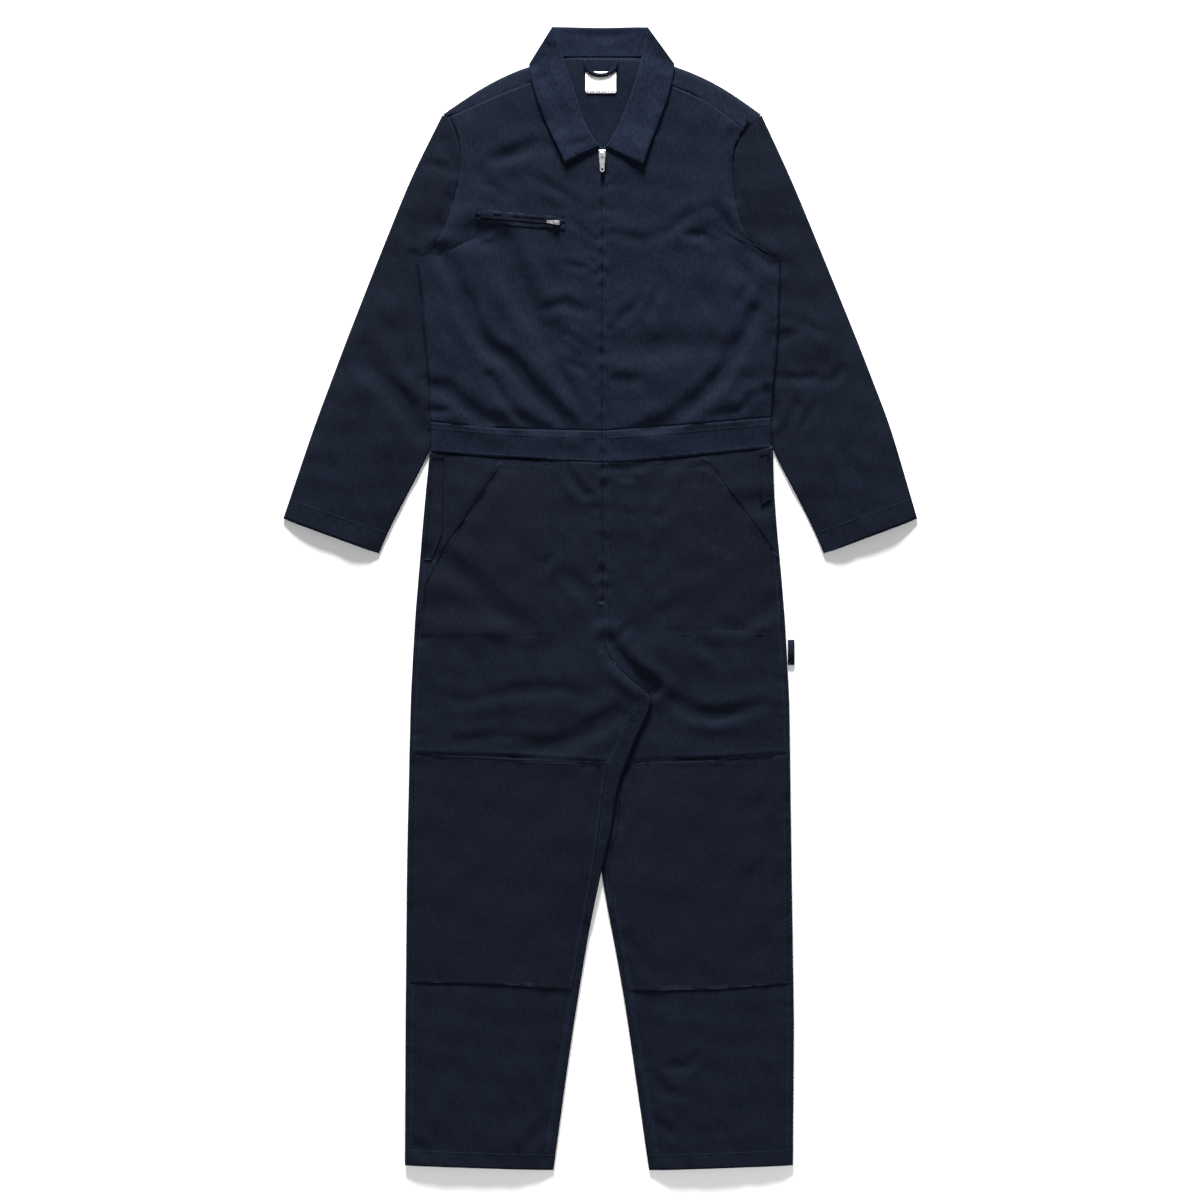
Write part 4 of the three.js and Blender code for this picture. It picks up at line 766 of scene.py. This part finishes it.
def stitch_row(made, path, length, thread):
    """Adds a row of topstitches along a path: a short bead for each stitch, laid on the cloth."""
    pitch = length / MM * STITCH_PITCH
    for number, (point, along) in enumerate(stepped(path, pitch)):
        place = point + along * (STITCH_WANDER * math.sin(number * STITCH_TURN))
        height = surface_height(place.x, place.y)
        ahead = surface_height(*(place + along * STITCH_AHEAD))
        slope = math.atan2(max(-STEEPEST, min(STEEPEST, ahead - height)), STITCH_AHEAD)
        turn = Matrix.Rotation(math.atan2(along.y, along.x), 4, "Z") @ Matrix.Rotation(-slope, 4, "Y")
        shape = Matrix.Diagonal((length / 2, thread / 2, thread * STITCH_FLATNESS, 1))
        top = height * MM + thread * STITCH_RISE
        bead = Matrix.Translation((place.x * MM, place.y * MM, top)) @ turn @ shape
        bmesh.ops.create_icosphere(made, subdivisions=1, radius=1, matrix=bead)


class SUIT_OT_cloth(bpy.types.Operator):
    """Make the suit's cloth: fronts, back, legs, sleeves, collar, pockets and patches"""

    bl_idname = "suit.cloth"
    bl_label = "Cloth"

    def execute(self, context):
        """Makes a creased shell on each cloth solid."""
        colours = context.scene.suit_colours
        crease = context.scene.suit_sewing.crease
        light, dark = tuple(colours.drill), tuple(colours.drill_dark)
        finishes = {
            "cotton_drill": drill_material("Navy cotton drill", light, dark),
            # Lighter and darker copies of the drill for the collar, legs and sleeves: partly dye, partly
            # painted light and shade.
            **{part: drill_material(f"Navy cotton drill, {part}", tuple(c * shade for c in light), dark)
               for part, shade in LIGHT_AND_DYE_SHARES.items()},
            "patch_drill": drill_material("Patch drill", tuple(colours.patch), dark),
            "zip_tape": tape_material(),
            "label_cloth": label_material(tuple(colours.label)),
        }
        shells = []
        for row in CLOTH:
            part = row["node"].split("_")[0]
            plain = row["node"].startswith("chest_pocket_welt")
            finish = part if part in LIGHT_AND_DYE_SHARES else "cotton_drill" if plain else row["slot"]
            piece = cloth_shell(row, finishes[finish], crease)
            keep_piece(piece, row["slot"], row["node"])
            shells.append(piece)
        surface["tree"] = tree_over(shells)
        return {"FINISHED"}


def thread_piece(name, rows, sewing, material):
    """One piece of topstitching made of several rows, each row built by itself and then joined."""
    whole = bmesh.new()
    for path in rows:
        part = bmesh.new()
        stitch_row(part, path, sewing.stitch, sewing.thread_width)
        kept = bpy.data.meshes.new("stitch_row")
        part.to_mesh(kept)
        part.free()
        whole.from_mesh(kept)
        bpy.data.meshes.remove(kept)
    mesh = bpy.data.meshes.new(name)
    whole.to_mesh(mesh)
    whole.free()
    piece = link(name, mesh, material)
    piece.data.shade_smooth()
    keep_piece(piece, "cotton_drill")
    return piece


class SUIT_OT_seams(bpy.types.Operator):
    """Make the felled seams that stand a little above the cloth"""

    bl_idname = "suit.seams"
    bl_label = "Felled seams"

    def execute(self, context):
        """Lays each seam's raised band on the cloth."""
        colours = context.scene.suit_colours
        material = drill_material("Seam drill", tuple(colours.drill), tuple(colours.drill_dark))
        for name, seam in SEAMS.items():
            made = bmesh.new()
            band_strip(made, seam["path"], seam["width"], STRIP_HIGH)
            bmesh.ops.recalc_face_normals(made, faces=made.faces)
            if sum(face.normal.z for face in made.faces) < 0:
                bmesh.ops.reverse_faces(made, faces=made.faces)
            mesh = bpy.data.meshes.new(name)
            made.to_mesh(mesh)
            made.free()
            strip = link(name, mesh, material)
            strip.data.shade_smooth()
            keep_piece(strip, "cotton_drill")
        return {"FINISHED"}


class SUIT_OT_stitching(bpy.types.Operator):
    """Make the topstitching and bartacks"""

    bl_idname = "suit.stitching"
    bl_label = "Stitching"

    def execute(self, context):
        """Sews each seam's rows, the rows along edges and the bartacks."""
        sewing = context.scene.suit_sewing
        material = thread_material(tuple(context.scene.suit_colours.thread))
        for name, seam in SEAMS.items():
            sides = [ROW_INSET, abs(seam["width"]) - FAR_INSET]
            sides = [math.copysign(side, seam["width"]) for side in sides]
            if abs(seam["width"]) <= TWO_ROWS:
                sides = sides[1:]
            rows = [shifted(rounded(seam["path"]), away) for away in sides]
            thread_piece(f"{name}_stitches", rows, sewing, material)
        for name, path in ROWS.items():
            thread_piece(name, [path], sewing, material)
        tacks = []
        for x, y, turn in BARTACKS:
            along = Vector((math.cos(math.radians(turn)), math.sin(math.radians(turn))))
            square = Vector((-along.y, along.x))
            for k in range(TACK_ROWS):
                middle = Vector((x, y)) + along * (k - TACK_ROWS / 2) * TACK_STEP
                tacks.append([middle - square * TACK_HALF, middle + square * TACK_HALF])
        thread_piece("bartacks", tacks, sewing, material)
        return {"FINISHED"}


class SUIT_OT_zips(bpy.types.Operator):
    """Make the zips' metal: finishes for sliders and pulls, and the chest pocket's teeth"""

    bl_idname = "suit.zips"
    bl_label = "Zips"

    def execute(self, context):
        """Gives the metal nodes their finish and sets teeth along the chest zip."""
        zinc = zinc_material(tuple(context.scene.suit_colours.zinc))
        # The chest zip's teeth get a near-black zinc, far darker than the sliders and pulls.
        dark_zinc = zinc_material(from_hex("1b1d22"))
        for name in ("front_zip_slider", "front_zip_pull", "chest_zip_slider", "chest_zip_pull"):
            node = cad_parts[name]
            for slot in node.material_slots:
                slot.material = zinc
        start, end = (Vector(place) for place in CHEST_TEETH)
        along = (end - start).normalized()
        made = bmesh.new()
        count = context.scene.suit_sewing.teeth
        for k in range(count):
            place = start.lerp(end, k / (count - 1))
            height = surface_height(place.x, place.y)
            turn = Matrix.Rotation(math.atan2(along.y, along.x), 4, "Z")
            move = Matrix.Translation(Vector((place.x, place.y, height + TOOTH_LIFT)) * MM)
            tooth = bmesh.ops.create_cube(made, size=1, matrix=move @ turn @ Matrix.Diagonal(TOOTH))
            edges = list({edge for vert in tooth["verts"] for edge in vert.link_edges})
            bmesh.ops.bevel(made, geom=edges, offset=TOOTH_EDGE, segments=1, profile=0.5,
                            affect="EDGES", material=-1)
        mesh = bpy.data.meshes.new("chest_zip_teeth")
        made.to_mesh(mesh)
        made.free()
        piece = link("chest_zip_teeth", mesh, dark_zinc)
        keep_piece(piece, "zinc")
        return {"FINISHED"}


class SUIT_OT_stage(bpy.types.Operator):
    """Make the floor, the lights and the camera"""

    bl_idname = "suit.stage"
    bl_label = "Stage"

    def execute(self, context):
        """Lays the pale floor, sets soft lights and looks straight down from the photograph's place."""
        made = bmesh.new()
        bmesh.ops.create_grid(made, x_segments=1, y_segments=1, size=FLOOR_SIZE)
        mesh = bpy.data.meshes.new("floor")
        made.to_mesh(mesh)
        made.free()
        material, tree, shader, place = material_of("Matt white paper")
        # Paper has a fibre of about 3 mm, far too faint to see from the camera.
        grain = add_node(tree, "ShaderNodeTexNoise", [("Vector", place, "Object")], Scale=300.0, Detail=2.0)
        tone = add_node(tree, "ShaderNodeValToRGB", [("Fac", grain, "Fac")],
                        stops=[(0.2, from_hex("fafafa")), (0.8, from_hex("fdfdfd"))])
        tree.links.new(tone.outputs["Color"], shader.inputs["Base Color"])
        shader.inputs["Roughness"].default_value = 0.9
        floor = link("floor", mesh, material)
        floor.location.z = -FLOOR_DROP
        world = bpy.data.worlds.new("Pale surround")
        context.scene.world = world
        world.use_nodes = True
        back = world.node_tree.nodes["Background"]
        back.inputs["Color"].default_value = (*from_hex("f4f6f8"), 1)
        back.inputs["Strength"].default_value = SURROUND
        for name, place, size, power in LIGHTS:
            lamp = bpy.data.lights.new(name, "AREA")
            lamp.shape = "DISK"
            lamp.size = size
            lamp.energy = power
            light = bpy.data.objects.new(name, lamp)
            light.location = place
            aim = -Vector(place)
            light.rotation_euler = aim.to_track_quat("-Z", "Y").to_euler()
            context.scene.collection.objects.link(light)
        lens = bpy.data.cameras.new("Camera")
        lens.lens = LENS
        lens.sensor_width = SENSOR
        camera = bpy.data.objects.new("Camera", lens)
        camera.location = CAMERA_PLACE
        context.scene.collection.objects.link(camera)
        context.scene.camera = camera
        context.scene.view_settings.view_transform = "Standard"
        return {"FINISHED"}


class SUIT_PT_panel(bpy.types.Panel):
    """Lists the suit's sizes, colours and pieces"""

    bl_idname = "SUIT_PT_panel"
    bl_label = "Boiler Suit"
    bl_space_type = "VIEW_3D"
    bl_region_type = "UI"
    bl_category = "Boiler Suit"

    def draw(self, context):
        """Draws the settings and one button for each group of pieces."""
        for group in (context.scene.suit_colours, context.scene.suit_sewing):
            for name in group.bl_rna.properties.keys():
                if name not in {"rna_type", "name"}:
                    self.layout.prop(group, name)
        for operator in OPERATORS:
            self.layout.operator(operator.bl_idname)


OPERATORS = (SUIT_OT_cloth, SUIT_OT_seams, SUIT_OT_stitching, SUIT_OT_zips, SUIT_OT_stage)
CLASSES = (SuitColours, SuitSewing, *OPERATORS, SUIT_PT_panel)


def register():
    """Registers the classes and the scene's settings."""
    for each in CLASSES:
        bpy.utils.register_class(each)
    bpy.types.Scene.suit_colours = PointerProperty(type=SuitColours)
    bpy.types.Scene.suit_sewing = PointerProperty(type=SuitSewing)


def unregister():
    """Takes the settings and classes away again."""
    del bpy.types.Scene.suit_sewing
    del bpy.types.Scene.suit_colours
    for each in reversed(CLASSES):
        bpy.utils.unregister_class(each)


def main():
    """Makes every piece in order."""
    register()
    bpy.ops.suit.cloth()
    bpy.ops.suit.seams()
    bpy.ops.suit.stitching()
    bpy.ops.suit.zips()
    bpy.ops.suit.stage()


if __name__ == "__main__":
    main()
